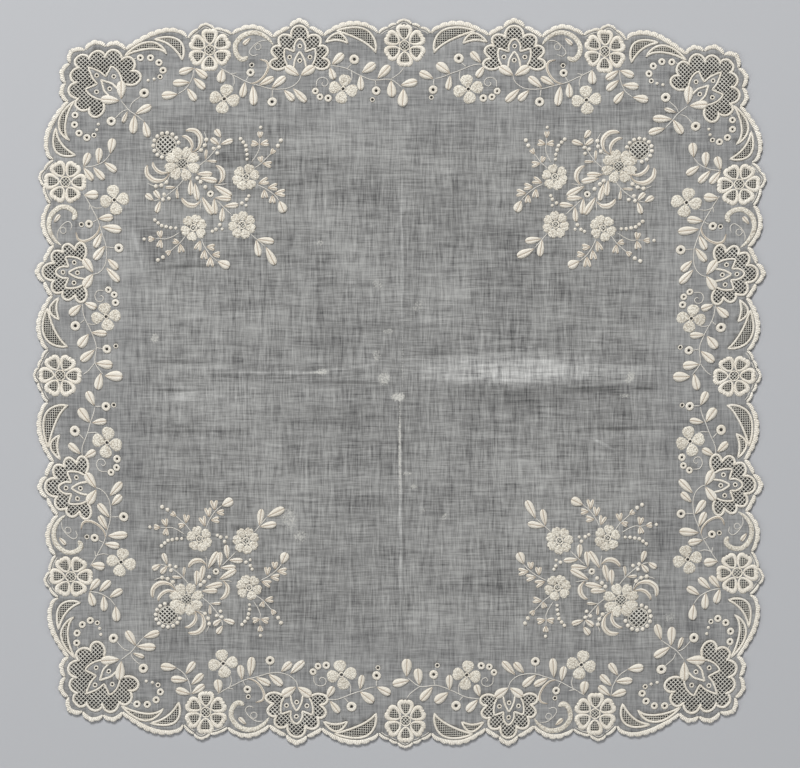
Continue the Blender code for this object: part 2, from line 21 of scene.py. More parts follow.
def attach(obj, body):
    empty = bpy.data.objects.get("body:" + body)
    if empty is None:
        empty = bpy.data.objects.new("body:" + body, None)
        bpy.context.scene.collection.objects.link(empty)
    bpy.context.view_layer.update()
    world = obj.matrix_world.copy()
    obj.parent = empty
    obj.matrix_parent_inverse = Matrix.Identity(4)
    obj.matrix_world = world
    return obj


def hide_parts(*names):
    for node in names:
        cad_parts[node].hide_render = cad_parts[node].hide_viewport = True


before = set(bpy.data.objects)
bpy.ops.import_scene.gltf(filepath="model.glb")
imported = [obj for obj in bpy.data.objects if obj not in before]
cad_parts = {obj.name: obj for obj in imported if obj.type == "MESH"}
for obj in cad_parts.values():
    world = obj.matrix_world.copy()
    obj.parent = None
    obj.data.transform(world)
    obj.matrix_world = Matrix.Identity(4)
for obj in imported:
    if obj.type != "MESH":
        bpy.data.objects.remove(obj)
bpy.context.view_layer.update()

NODE = "handkerchief"
MM = 0.001
log = logging.getLogger("handkerchief")

Spot = tuple[float, float]
Colour = tuple[float, float, float]


class Work(Enum):
    """Kinds of needlework. Each kind becomes one piece."""

    EDGING = "scalloped_edging"
    RIM = "padded_rims"
    NET = "needle_nets"
    LEAF = "padded_leaves"
    SEED = "seeded_petals"
    CORD = "stems"
    EYELET = "worked_eyelets"
    DOT = "satin_dots"


class Turn(Enum):
    """How a part of the chart is set out round the cloth."""

    HALVES = "both halves of every side"
    LONG = "the halves with the long spray"
    SHORT = "the halves with the short spray"
    SIDES = "once on every side"
    CORNERS = "every corner, mirrored about its diagonal"
    CORNERS_ONCE = "every corner, once"


# The cloth, in millimetres: half its side, the height of its face and the reach of each pull
HALF_SIDE = 190.0
GROUND_TOP = 0.95
PULL_RADIUS = 62.0
# Steps along curves, and the gap under which points are merged
STITCH_STEP = 0.75
RIM_STEP = 0.6
STEM_STEP = 0.9
SEAM_GAP = 0.002
# Stems and fine cords. Every top and foot of the needlework is measured from the cloth's face
STEM_WIDTH = 0.55
STEM_TOP = 0.3
FINE_TOP = 0.28
CORD_SIDES = 6
# Feet of the stitches round a hole, which reach down to the floor, and of padding
WELL_FOOT = -0.78
PAD_FOOT = -0.3
# Threads of a net: their top, how much higher the second ones lie, and how far they run into the rim
THREAD_TOP = 0.06
THREAD_LIFT = 0.05
THREAD_REACH = 0.15
# Eyelets: points of a ring, and the width of the hole as a share of the charted one
EYELET_POINTS = 20
HOLE_SHARE = 0.85
# Satin dots: their flatness and the height of their middle
DOT_FLATNESS = 0.72
DOT_MIDDLE = 0.05
# Width of a worked leaf as a share of the charted one, and where a mark is at its full strength: a worn
# mark, or a crease mark of wear with painted highlight and shade
LEAF_FULLNESS = 1.18
MARK_CORE = 0.55
# Name of the map that the stitches follow
STITCH_MAP = "stitches"
# Rosettes, as a and d
SIDE_ROSETTE = (102.3, 16.0)
MIDDLE_ROSETTE = (0.0, 13.8)

# Bows of the edge: a along the side from its middle, d inward, from notch to notch
# a0, d0, a1, d1, rise, where the bow is highest, scallops along it, width of the edging
EDGE_BOWS = (
    (-4.0, 2.2, 4.0, 2.2, 2.2, 0.50, 3, 1.1),
    (4.0, 2.2, 8.5, 4.0, 0.6, 0.50, 1, 1.1),
    (8.5, 4.0, 13.8, 7.1, 0.7, 0.50, 1, 1.1),
    (13.8, 7.1, 42.9, 8.9, 6.2, 0.45, 7, 1.9),
    (42.9, 8.9, 50.3, 4.7, 1.0, 0.50, 2, 1.7),
    (50.3, 4.7, 61.1, 4.7, 4.0, 0.50, 3, 1.9),
    (61.1, 4.7, 69.8, 9.7, 1.0, 0.50, 2, 1.7),
    (69.8, 9.7, 91.0, 7.8, 5.1, 0.50, 5, 1.8),
    (91.0, 7.8, 99.8, 4.6, 0.9, 0.50, 2, 1.1),
    (99.8, 4.6, 108.4, 4.6, 2.4, 0.55, 3, 1.1),
    (108.4, 4.6, 113.6, 9.3, 0.6, 0.50, 1, 1.1),
    (113.6, 9.3, 145.0, 16.0, 6.6, 0.38, 8, 1.9),
    (145.0, 16.0, 155.2, 14.4, 3.2, 0.50, 3, 1.8),
    (155.2, 14.4, 165.8, 16.4, 3.4, 0.50, 3, 1.8),
    (165.8, 16.4, 173.6, 24.2, 4.5, 0.50, 3, 1.9),
)
SCALLOP_RISE = 0.95
CORNER_BOW_DEPTH = 24.0

# Netted crescents: tips, then rise and peak of the outer and of the inner bow
CRESCENTS = (
    (14.4, 18.2, 37.0, 6.2, 8.9, 0.42, 1.5, 0.40),
    (28.8, 13.0, 43.0, 12.6, 5.7, 0.46, 0.9, 0.50),
    (115.5, 21.9, 131.5, 9.8, 8.0, 0.43, 2.0, 0.50),
    (123.0, 18.0, 146.5, 19.6, 7.6, 0.42, 2.9, 0.40),
)

# Leaves: stalk end, round end and width
LONG_LEAVES = (
    (0.7, 36.6, 1.1, 46.1, 4.8), (2.2, 34.8, -6.5, 32.9, 4.0), (7.1, 32.2, 6.7, 41.0, 4.4),
    (23.4, 29.6, 23.3, 37.7, 3.3), (14.3, 31.5, 7.9, 24.5, 4.0), (22.7, 28.5, 15.5, 23.4, 4.4),
    (39.7, 26.0, 37.5, 32.2, 3.6), (38.6, 24.5, 32.5, 18.3, 4.0),
)
SHORT_LEAVES = (
    (38.7, 23.4, 33.9, 17.4, 3.5), (40.4, 25.1, 36.9, 31.1, 3.3), (23.3, 28.8, 16.5, 23.4, 4.5),
    (14.8, 31.4, 7.6, 27.9, 3.9), (23.3, 29.7, 22.1, 37.4, 3.0),
)
HALF_LEAVES = (
    (59.1, 37.0, 51.9, 44.0, 3.6), (63.9, 37.9, 58.4, 43.3, 3.5), (70.4, 36.7, 63.1, 30.9, 3.6),
    (76.8, 35.0, 69.3, 31.1, 3.3), (79.9, 35.0, 78.9, 45.6, 3.9), (84.0, 33.2, 85.2, 41.2, 3.5),
    (95.7, 26.1, 96.5, 33.4, 4.2), (109.8, 25.6, 103.4, 30.6, 3.4), (110.2, 25.6, 117.8, 28.0, 3.6),
    (110.3, 30.6, 104.1, 36.4, 3.4), (112.0, 33.0, 120.6, 33.5, 3.5), (113.2, 36.1, 108.6, 42.7, 3.4),
    (117.8, 39.3, 126.0, 40.3, 4.0), (81.3, 9.9, 85.4, 13.4, 2.2),
)

# Stems, as the routes of laid cords
LONG_STEMS = (
    ((39.7, 24.8), (31.8, 26.0), (24.2, 29.6), (16.6, 32.2), (7.5, 31.8), (1.4, 35.9)),
    ((7.5, 31.8), (3.0, 28.5), (0.7, 25.6)),
    ((15.4, 32.3), (15.1, 35.6)),
    ((30.4, 26.3), (28.4, 23.9)),
)
SHORT_STEMS = (
    ((40.4, 24.1), (35.2, 24.4), (28.4, 27.2), (23.3, 29.0), (18.9, 30.7), (15.5, 31.4)),
    ((15.0, 31.6), (14.8, 35.0)),
    ((31.5, 25.5), (29.0, 23.0)),
)
HALF_STEMS = (
    ((55.0, 29.7), (56.0, 32.8), (58.4, 35.3), (61.8, 36.9), (65.9, 37.4), (70.7, 37.0),
     (76.2, 35.3), (83.0, 33.2), (88.4, 30.4), (91.2, 29.0), (96.7, 25.7)),
    ((88.1, 28.3), (91.5, 29.0)),
    ((90.9, 28.3), (89.5, 32.2), (89.9, 35.4)),
    ((110.0, 25.4), (111.0, 30.9), (113.8, 36.1), (117.8, 39.3)),
    ((28.4, 27.2), (28.0, 31.0), (29.0, 33.8)),
    ((46.9, 36.4), (46.6, 32.8), (44.0, 31.2), (41.2, 32.2), (40.9, 34.6), (42.8, 35.8),
     (44.1, 34.5), (43.2, 33.5)),
    ((69.9, 37.2), (69.7, 41.8)),
    ((83.6, 32.8), (82.2, 30.2)),
    ((72.8, 11.8), (76.2, 11.8), (79.6, 13.9), (82.0, 17.4), (80.3, 19.5), (77.5, 18.8)),
    ((141.6, 21.4), (139.4, 20.4)),
)
# Thick curved cords: a, d and width
SCROLL = ((69.7, 13.9, 0.7), (72.1, 10.8, 1.7), (76.2, 8.0, 2.3), (80.9, 7.3, 2.5), (85.7, 9.0, 2.6),
          (89.1, 13.2, 2.6), (89.1, 17.4, 2.6), (87.1, 20.6, 2.7), (84.9, 21.2, 2.7), (82.8, 19.9, 2.2))
COMMA = ((76.8, 21.6, 0.7), (73.4, 22.7, 1.3), (72.4, 25.8, 1.5), (74.1, 30.0, 1.3), (77.5, 33.2, 1.0),
         (81.3, 34.2, 0.5))

# Worked eyelets: place, ring and hole
LONG_EYELETS = ((15.1, 37.8, 2.35, 0.85), (17.0, 42.5, 1.3, 0.85), (26.8, 21.4, 2.6, 0.95))
SHORT_EYELETS = ((27.6, 20.9, 2.6, 0.95), (14.8, 37.2, 2.3, 0.85), (13.9, 41.2, 1.3, 0.85))
HALF_EYELETS = (
    (40.5, 42.0, 2.0, 0.7), (44.8, 41.4, 1.8, 0.6), (47.3, 38.4, 1.8, 0.6),
    (69.6, 43.9, 2.4, 0.9), (81.2, 28.4, 2.1, 0.8), (80.7, 24.5, 1.3, 0.85),
    (137.6, 20.2, 1.9, 0.7), (132.4, 20.1, 1.9, 0.7), (128.0, 22.6, 1.9, 0.7),
    (125.8, 26.7, 1.9, 0.7), (127.1, 30.3, 1.35, 0.7),
)
HALF_DOTS = ((130.1, 31.6, 0.85), (133.2, 32.3, 0.85))
SCROLL_LOOP = (77.5, 14.8, 1.6)

# Flowers of four seeded petals, and the ring and hole of their eyelet
FOUR_PETALS = ((32.6, 37.2), (94.0, 41.9))
FOUR_PETALS_EYELET = (1.4, 0.95)

# The fan, from its join: x across, y outward. Each lobe's rim ends a little inside its notch
FAN_JOIN = (55.7, 30.3)
FAN_LOBES = (
    ((7.2, 4.9), (9.6, 3.6), (12.4, 3.4), (15.0, 4.6), (15.7, 6.7), (14.3, 8.5), (11.4, 9.3)),
    ((11.9, 9.4), (13.5, 10.5), (14.8, 12.7), (14.1, 14.9), (12.0, 15.9), (9.8, 15.3)),
    ((10.2, 15.6), (11.1, 17.6), (10.9, 20.0), (8.8, 21.5), (6.0, 21.3), (4.1, 19.8)),
)
FAN_TOP_LOBE = (
    (4.4, 20.3), (4.4, 22.8), (2.8, 25.3), (0.0, 26.2), (-2.8, 25.3), (-4.4, 22.8), (-4.4, 20.3),
)
FAN_NET_OUTSIDE = (
    (7.2, 4.9), (9.6, 3.6), (12.4, 3.4), (15.0, 4.6), (15.7, 6.7), (14.3, 8.5), (11.9, 9.3), (13.5, 10.5),
    (14.8, 12.7), (14.1, 14.9), (12.0, 15.9), (10.2, 15.6), (11.1, 17.6), (10.9, 20.0), (8.8, 21.5),
    (6.0, 21.3), (4.4, 20.3), (4.4, 22.8), (2.8, 25.3), (0.0, 26.2),
)
FAN_NET_INSIDE = (
    (7.7, 8.0), (8.3, 11.5), (7.8, 14.2), (5.2, 13.4), (2.9, 12.8), (3.0, 15.6), (1.8, 18.0),
    (0.0, 19.3),
)
FAN_SIDE_PETAL = ((6.4, 5.2), (7.8, 8.2), (8.3, 11.6), (7.8, 14.2), (5.4, 13.6), (2.8, 12.6))
FAN_TOP_PETAL = (
    (-2.8, 12.7), (-3.0, 15.6), (-1.8, 18.2), (0.0, 19.4), (1.8, 18.2), (3.0, 15.6), (2.8, 12.7),
)
FAN_MIDDLE_PETAL = (
    (-3.2, 4.2), (-2.6, 8.0), (-1.2, 11.0), (0.0, 12.4), (1.2, 11.0), (2.6, 8.0), (3.2, 4.2),
)
FAN_LEAF = (0.3, 0.0, 7.6, 4.7, 4.3)
FAN_EYELETS = ((0.0, 15.6, 1.3, 0.7), (5.3, 9.8, 1.3, 0.7), (0.0, 8.0, 1.3, 0.7))

# The corner fan, measured from the middle of the cloth
CORNER_LOBES = (
    ((144.8, 155.5), (141.8, 155.1), (139.0, 156.2), (137.3, 158.4), (137.4, 160.8), (139.4, 162.5),
     (142.6, 162.6)),
    ((141.4, 162.9), (140.3, 165.4), (141.0, 168.1), (143.0, 169.8), (145.4, 169.6), (147.4, 168.0)),
    ((146.9, 168.9), (147.5, 171.2), (149.2, 173.1), (151.6, 173.7), (154.0, 172.6), (155.5, 170.2),
     (155.8, 169.0)),
    ((155.6, 170.6), (157.2, 172.3), (159.6, 172.8), (162.0, 171.6), (163.5, 169.4), (163.7, 168.0)),
)
CORNER_TOP_LOBE = ((163.8, 169.4), (165.4, 170.5), (167.6, 170.6), (169.4, 169.4))
CORNER_NET_OUTSIDE = (
    (144.8, 155.5), (141.8, 155.1), (139.0, 156.2), (137.3, 158.4), (137.4, 160.8), (139.4, 162.6),
    (141.2, 163.0), (140.3, 165.4), (141.0, 168.1), (143.0, 169.8), (145.4, 169.6), (146.9, 168.9),
    (147.5, 171.2), (149.2, 173.1), (151.6, 173.7), (154.0, 172.6), (155.6, 170.6), (157.2, 172.3),
    (159.6, 172.8), (162.0, 171.6), (163.7, 169.4), (165.4, 170.5), (167.6, 170.6), (169.4, 169.4),
)
CORNER_NET_INSIDE = (
    (146.4, 156.4), (147.2, 159.2), (148.9, 162.4), (151.8, 164.6), (153.4, 162.0), (154.9, 159.2),
    (157.6, 161.4), (161.0, 163.0), (164.0, 164.0),
)
CORNER_TULIP = (
    (146.3, 155.4), (147.2, 159.2), (148.9, 162.4), (151.8, 164.6), (153.4, 162.0), (154.9, 159.0),
)
CORNER_TULIP_TOP = ((154.9, 159.0), (157.6, 161.4), (161.0, 163.0), (164.0, 164.0))
CORNER_MIDDLE_PETAL = ((148.4, 152.4), (151.4, 155.3), (154.6, 156.4), (157.2, 157.2))
CORNER_SEPAL = (146.4, 147.2, 146.9, 157.0, 4.4)
CORNER_EYELETS_PAIRED = ((150.7, 159.3, 1.3, 0.7), (135.0, 151.0, 2.5, 0.9))
CORNER_EYELETS = ((159.6, 159.6, 1.3, 0.7), (152.6, 152.6, 1.3, 0.7))
CORNER_TWIG_LEAVES = ((139.0, 139.2, 129.0, 139.6, 3.9), (139.3, 139.0, 144.4, 131.0, 3.8),
                      (135.6, 134.2, 127.4, 131.6, 3.6), (140.8, 142.9, 134.6, 145.0, 2.2))
CORNER_TWIG_STEMS = (((146.5, 146.5), (141.6, 142.4), (139.2, 139.0), (135.6, 134.2)),)
CORNER_STEMS_PAIRED = (((141.8, 142.6), (140.6, 145.6), (136.4, 149.4)),)

# The field's spray in one corner, measured from the middle of the cloth
DAISY = (114.0, 113.4)
DAISY_TURNS = (-155.0, -106.0, -64.0, -18.0, 18.0, 64.0, 106.0, 155.0)
NET_BALL = (123.4, 122.2)
NET_BALL_RADIUS = 5.0
NET_BALL_TURNS = 15
SIDE_FLOWER = (80.9, 107.0)
SIDE_FLOWER_TURNS = (40.0, 108.0, 167.0, 233.0, 292.0, 343.0)
MIDDLE_FLOWER = (82.2, 82.2)
FIELD_LEAVES = (
    (106.1, 108.8, 97.7, 108.7, 2.7), (104.4, 106.8, 95.1, 105.0, 2.9), (97.1, 102.8, 87.7, 97.5, 3.2),
    (96.4, 96.5, 87.9, 96.0, 2.7), (91.7, 92.2, 84.1, 92.8, 2.8), (101.7, 116.2, 101.4, 121.7, 1.6),
    (101.1, 115.7, 95.9, 115.3, 1.6), (94.6, 127.7, 97.6, 132.0, 2.9), (95.2, 124.0, 99.6, 127.5, 2.6),
    (94.6, 124.2, 88.4, 126.3, 2.7), (63.6, 94.7, 60.7, 88.7, 4.3), (74.7, 74.9, 65.8, 73.6, 3.3),
)
FIELD_BUDS = (
    (75.1, 124.0, 79.2, 124.8, 1.7), (74.7, 124.0, 70.2, 125.0, 1.7), (74.9, 127.2, 74.7, 130.8, 1.7),
    (73.1, 114.3, 74.2, 117.8, 1.5), (72.7, 114.0, 67.9, 113.3, 1.6), (69.1, 118.7, 67.1, 121.5, 1.5),
    (74.4, 103.7, 69.1, 105.5, 1.7), (69.7, 101.5, 64.4, 102.0, 1.7), (66.1, 98.5, 60.4, 98.7, 1.8),
    (71.2, 100.7, 70.9, 96.0, 1.7), (67.1, 97.7, 67.1, 93.3, 1.7),
)
FIELD_LEAVES_ONCE = ((70.9, 69.9, 61.4, 65.4, 3.8),)
FIELD_HORNS = (
    ((112.6, 131.4, 1.3), (110.6, 131.8, 2.1), (107.6, 131.2, 2.6), (105.2, 128.6, 2.7),
     (104.6, 125.8, 2.3), (105.4, 122.6, 1.3), (107.4, 120.6, 0.6), (109.4, 119.8, 0.5)),
    ((114.4, 128.5, 1.2), (112.4, 128.2, 1.8), (110.1, 126.4, 2.1), (108.9, 124.0, 1.9),
     (109.0, 121.4, 1.0), (109.4, 119.8, 0.5)),
    ((96.3, 113.1, 1.3), (94.4, 112.1, 2.1), (92.7, 109.8, 2.8), (92.4, 106.8, 2.4), (93.6, 104.6, 1.1),
     (94.9, 103.4, 0.5)),
)
FIELD_STEMS = (
    ((106.2, 112.0), (101.7, 115.8), (97.7, 120.5), (95.6, 124.0)),
    ((108.6, 119.6), (105.6, 120.4), (103.2, 122.6), (101.8, 126.7), (103.2, 130.9)),
    ((95.6, 124.0), (94.9, 125.9), (94.6, 127.9)), ((102.4, 115.4), (98.6, 115.4)),
    ((96.4, 103.4), (93.6, 103.2), (90.0, 103.8)),
    ((78.4, 114.5), (76.1, 118.2), (74.9, 121.5), (75.1, 124.2), (74.9, 127.2)),
    ((77.1, 111.2), (73.4, 114.0), (69.4, 118.5), (68.1, 119.8)),
    ((75.1, 103.2), (70.7, 101.2), (66.1, 97.8), (63.4, 94.5)),
)
FIELD_STEMS_ONCE = (((95.1, 95.1), (87.6, 87.6)), ((78.0, 78.0), (70.9, 70.2)))
FIELD_DOTS = (
    (104.1, 121.2, 1.1), (102.4, 123.8, 1.1), (101.8, 126.7, 1.1), (97.9, 122.2, 1.0), (95.2, 122.8, 1.0),
    (95.9, 119.7, 1.0), (84.6, 127.0, 1.0), (83.1, 125.3, 1.0), (81.7, 123.5, 1.0), (81.2, 121.2, 1.0),
    (80.7, 118.8, 0.95), (80.6, 116.3, 0.85), (74.7, 132.8, 0.9), (65.5, 123.2, 1.1), (64.0, 125.9, 1.1),
    (82.5, 93.6, 1.0), (80.1, 95.5, 1.0), (79.1, 97.3, 0.9), (80.2, 92.4, 0.8),
)
FIELD_DOTS_ONCE = ((106.6, 105.5, 1.1), (104.7, 103.8, 1.1), (102.1, 101.3, 1.1))
FIELD_EYELET_ONCE = (98.5, 98.5, 1.75, 0.6)

# Halves of a side that carry the long spray: the side, turned from the top one, and the half
LONG_HALVES = ((0, -1), (1, 1), (2, -1), (3, -1))

# Where the motifs lie on the cloth: chart x and y, then cloth x and y
PULLS = (
    (-102.3, 174.0, -99.7, 173.5), (0.0, 176.2, 2.0, 175.8), (102.3, 174.0, 106.7, 172.8),
    (-102.3, -174.0, -101.8, -172.4), (0.0, -176.2, 2.5, -176.9), (102.3, -174.0, 101.5, -173.2),
    (-174.0, 102.3, -175.2, 104.7), (-176.2, 0.0, -177.9, 3.6), (-174.0, -102.3, -172.2, -101.5),
    (174.0, 102.3, 176.7, 103.3), (176.2, 0.0, 174.1, 3.2), (174.0, -102.3, 175.8, -99.6),
    (-55.7, 159.7, -52.7, 160.1), (55.7, 159.7, 59.2, 160.1), (-55.7, -159.7, -54.3, -159.1),
    (55.7, -159.7, 56.6, -159.5), (-159.7, 55.7, -160.7, 56.8), (-159.7, -55.7, -159.1, -55.7),
    (159.7, 55.7, 159.7, 55.7), (159.7, -55.7, 159.1, -54.2), (-146.5, 146.5, -146.0, 147.1),
    (146.5, 146.5, 149.9, 144.4), (-146.5, -146.5, -146.0, -145.0), (146.5, -146.5, 148.2, -145.2),
    (-113.1, 113.1, -113.8, 113.2), (113.1, 113.1, 113.1, 112.4), (113.1, -113.1, 114.7, -113.0),
    (-113.1, -113.1, -111.0, -113.1),
)

# Low press folds, as soft ridges: two ends, width and height
FOLDS = (
    (0.6, -136.0, 1.2, 10.0, 1.6, 0.30), (1.2, 10.0, 2.6, 134.0, 1.8, 0.35),
    (-142.0, 3.4, -20.0, 5.6, 1.8, 0.35), (-132.0, -3.5, -66.0, -6.0, 2.0, 0.40),
    (14.0, 8.4, 140.0, 5.8, 7.5, 1.00), (16.0, -3.0, 132.0, -6.2, 3.0, -0.35),
    (-130.0, 59.6, -88.0, 62.4, 1.6, 0.45), (-60.0, -44.0, 18.0, -52.0, 9.0, 0.25),
    (30.0, 64.0, 118.0, 40.0, 12.0, 0.25), (-26.0, 14.0, -18.0, -10.0, 3.0, 0.25),
    (24.0, -6.0, 84.0, -34.0, 5.0, 0.25), (80.0, -22.6, 146.0, -24.6, 1.6, -0.35),
    (84.0, 15.2, 142.0, 17.6, 1.4, 0.30), (-140.0, -24.0, -78.0, -25.6, 1.4, -0.35),
    (100.0, -28.6, 112.0, -34.6, 1.0, 0.35), (-20.0, 120.0, 84.0, 112.0, 10.0, 0.20),
)
# Soft swells: place, radius and height
SWELLS = (
    (60.0, 4.0, 46.0, 0.30), (-52.0, -74.0, 40.0, 0.25), (-120.0, 30.0, 34.0, 0.25),
    (30.0, -104.0, 38.0, 0.20), (12.0, 92.0, 42.0, -0.15), (-84.0, 62.0, 30.0, -0.10),
)
# Worn and whitened places of the field: place, half length, half width, turn and strength
WORN_PLACES = (
    (-127.9, 23.7, 3.6, 3.0, 80.0, 1.0), (-41.6, 73.4, 3.2, 2.1, 10.0, 0.8),
    (-8.1, 2.7, 5.2, 4.2, 70.0, 1.1), (-12.1, 14.7, 4.4, 3.0, 90.0, 0.85),
    (-0.8, -7.0, 5.2, 3.0, 0.0, 1.3), (-40.0, 6.0, 4.4, 2.4, 0.0, 1.0),
    (-6.1, 27.4, 3.8, 2.0, 0.0, 0.75), (9.6, 40.4, 4.6, 3.6, 40.0, 0.7),
    (-11.4, 51.6, 4.6, 3.2, -40.0, 0.75), (-58.0, -70.4, 9.0, 6.0, -70.0, 0.85),
    (-52.0, -80.0, 5.2, 4.6, 0.0, 0.85), (120.4, 3.2, 5.4, 3.6, 60.0, 1.0),
    (117.4, -6.4, 3.8, 1.5, 5.0, 0.9), (7.6, -54.0, 2.8, 2.0, 0.0, 0.9),
    (12.0, -66.4, 2.8, 1.8, 60.0, 0.7), (23.5, -69.6, 3.8, 2.0, 50.0, 0.8),
    (3.8, -47.0, 3.6, 0.9, 0.0, 1.1), (140.6, -122.4, 4.4, 3.6, 20.0, 0.75),
    (0.1, -36.0, 36.0, 1.0, 90.0, 1.15), (1.6, 12.0, 26.0, 0.8, 90.0, 0.6),
    (-46.0, 5.6, 8.0, 0.8, 0.0, 0.75),
)
# Creases, pressed bands and thin places, in the same columns: pale over nought, dark under it. They are
# partly crease wear, partly painted highlight on fold slopes and painted shade in wrinkles
CREASE_WEAR_AND_SHADE = (
    (0.3, -60.0, 66.0, 1.2, 90.0, 0.9), (2.0, -58.0, 60.0, 1.0, 90.0, -0.4),
    (1.2, 60.0, 70.0, 1.1, 90.0, 0.55), (58.0, 7.4, 62.0, 9.8, 0.0, 1.25),
    (66.0, 3.4, 46.0, 4.6, 0.0, 0.60), (112.0, 6.0, 34.0, 6.4, 0.0, 0.45),
    (58.0, -7.0, 56.0, 6.5, 0.0, -0.40), (24.0, 16.6, 20.0, 3.4, 0.0, -0.35),
    (98.0, -3.2, 18.0, 1.8, 0.0, -0.8), (127.0, -2.6, 7.0, 1.0, 0.0, -1.1),
    (113.0, -23.6, 36.0, 1.3, 0.0, -0.5), (112.7, -23.6, 9.0, 1.6, 0.0, -0.5),
    (106.4, -31.6, 8.0, 1.1, -27.0, 0.9), (100.0, 22.8, 6.0, 1.0, 0.0, 0.5),
    (98.0, 13.6, 12.0, 1.1, 2.0, 0.5), (120.0, 10.1, 8.0, 1.0, 0.0, -0.7),
    (63.4, 17.8, 9.0, 0.9, 13.0, 0.6), (-26.0, 0.4, 30.0, 1.0, -1.0, -0.7),
    (-32.0, 7.6, 26.0, 1.1, 7.0, 0.5), (-56.0, 5.8, 34.0, 1.0, 0.0, 0.7),
    (130.0, 8.2, 16.0, 1.0, -2.0, 0.4), (-115.0, 11.4, 20.0, 1.5, 0.0, -0.7),
    (-92.8, 7.8, 16.0, 1.1, 0.0, 0.5), (-38.0, -6.6, 34.0, 4.0, 0.0, 0.25),
    (-115.8, -3.4, 15.0, 1.0, 0.0, -0.7), (-113.0, -6.8, 40.0, 3.2, -1.0, 0.6),
    (-109.5, -24.8, 33.0, 1.2, 0.0, -0.5), (-65.0, -32.4, 17.0, 1.1, -12.0, 0.4),
    (-137.0, 70.8, 19.0, 1.1, -77.0, 0.5), (-36.0, -17.0, 44.0, 6.0, 0.0, -0.25),
    (-107.0, 61.4, 23.0, 1.4, 2.0, -0.9), (-98.0, -25.8, 4.0, 1.0, 0.0, 0.5),
    (20.0, 112.0, 26.0, 6.0, -20.0, 0.2), (30.0, 92.0, 30.0, 20.0, 0.0, -0.20),
    (-60.0, 30.0, 50.0, 30.0, 0.0, -0.10), (-150.0, 80.0, 18.0, 40.0, 0.0, 0.2),
    (80.0, -70.0, 60.0, 50.0, 0.0, 0.16), (-90.0, 20.0, 40.0, 70.0, 0.0, 0.12),
)


@dataclass(frozen=True)
class Chart:
    """The way from the chart to the cloth: the pull of its motifs, and its folds and swells."""

    radius: float = PULL_RADIUS
    hand: float = 0.16

    def _weights(self) -> tuple[np.ndarray, np.ndarray]:
        """Solves for the weights that carry each charted motif to its place.

        Returns:
            The charted places and the weight of each.
        """
        table = np.array(PULLS)
        chart, cloth = table[:, :2], table[:, 2:]
        gaps = np.linalg.norm(chart[:, None, :] - chart[None, :, :], axis=2)
        return chart, np.linalg.solve(np.exp(-(gaps / self.radius) ** 2), cloth - chart)

    def pulled(self, places: np.ndarray) -> np.ndarray:
        """Moves chart places to the cloth.

        Args:
            places: Chart x and y, one row each.

        Returns:
            Cloth x and y, one row each.
        """
        chart, weights = self._weights()
        gaps = np.linalg.norm(places[:, None, :] - chart[None, :, :], axis=2)
        cloth = places + np.exp(-(gaps / self.radius) ** 2) @ weights
        x, y = cloth[:, 0], cloth[:, 1]
        sway_x = np.sin(x / 3.7 + 1.4 * np.sin(y / 6.1)) + 0.6 * np.sin(y / 2.3 + x / 9.0)
        sway_y = np.sin(y / 4.1 + 1.3 * np.sin(x / 5.3)) + 0.6 * np.sin(x / 2.7 - y / 8.0)
        return cloth + self.hand * np.stack((sway_x, sway_y), axis=1) * 0.5

    def lift(self, places: np.ndarray) -> np.ndarray:
        """Height of the folds and swells.

        Args:
            places: Cloth x and y, one row each.

        Returns:
            One height for each place.
        """
        x, y = places[:, 0], places[:, 1]
        height = np.zeros(len(places))
        for x0, y0, x1, y1, width, rise in FOLDS:
            run = np.array((x1 - x0, y1 - y0))
            length = float(np.hypot(*run))
            share = ((x - x0) * run[0] + (y - y0) * run[1]) / length ** 2
            away = ((x - x0) * run[1] - (y - y0) * run[0]) / length
            away = away + width * 0.5 * np.sin(share * 9.0 + x0)
            ends = np.clip(np.minimum(share, 1.0 - share) * 6.0, 0.0, 1.0)
            height += rise * ends * (0.75 + 0.25 * np.sin(share * 17.0 + y0)) / (1.0 + (away / width) ** 2)
        for x0, y0, radius, rise in SWELLS:
            height += rise * np.exp(-(np.hypot(x - x0, y - y0) / radius) ** 2)
        return height


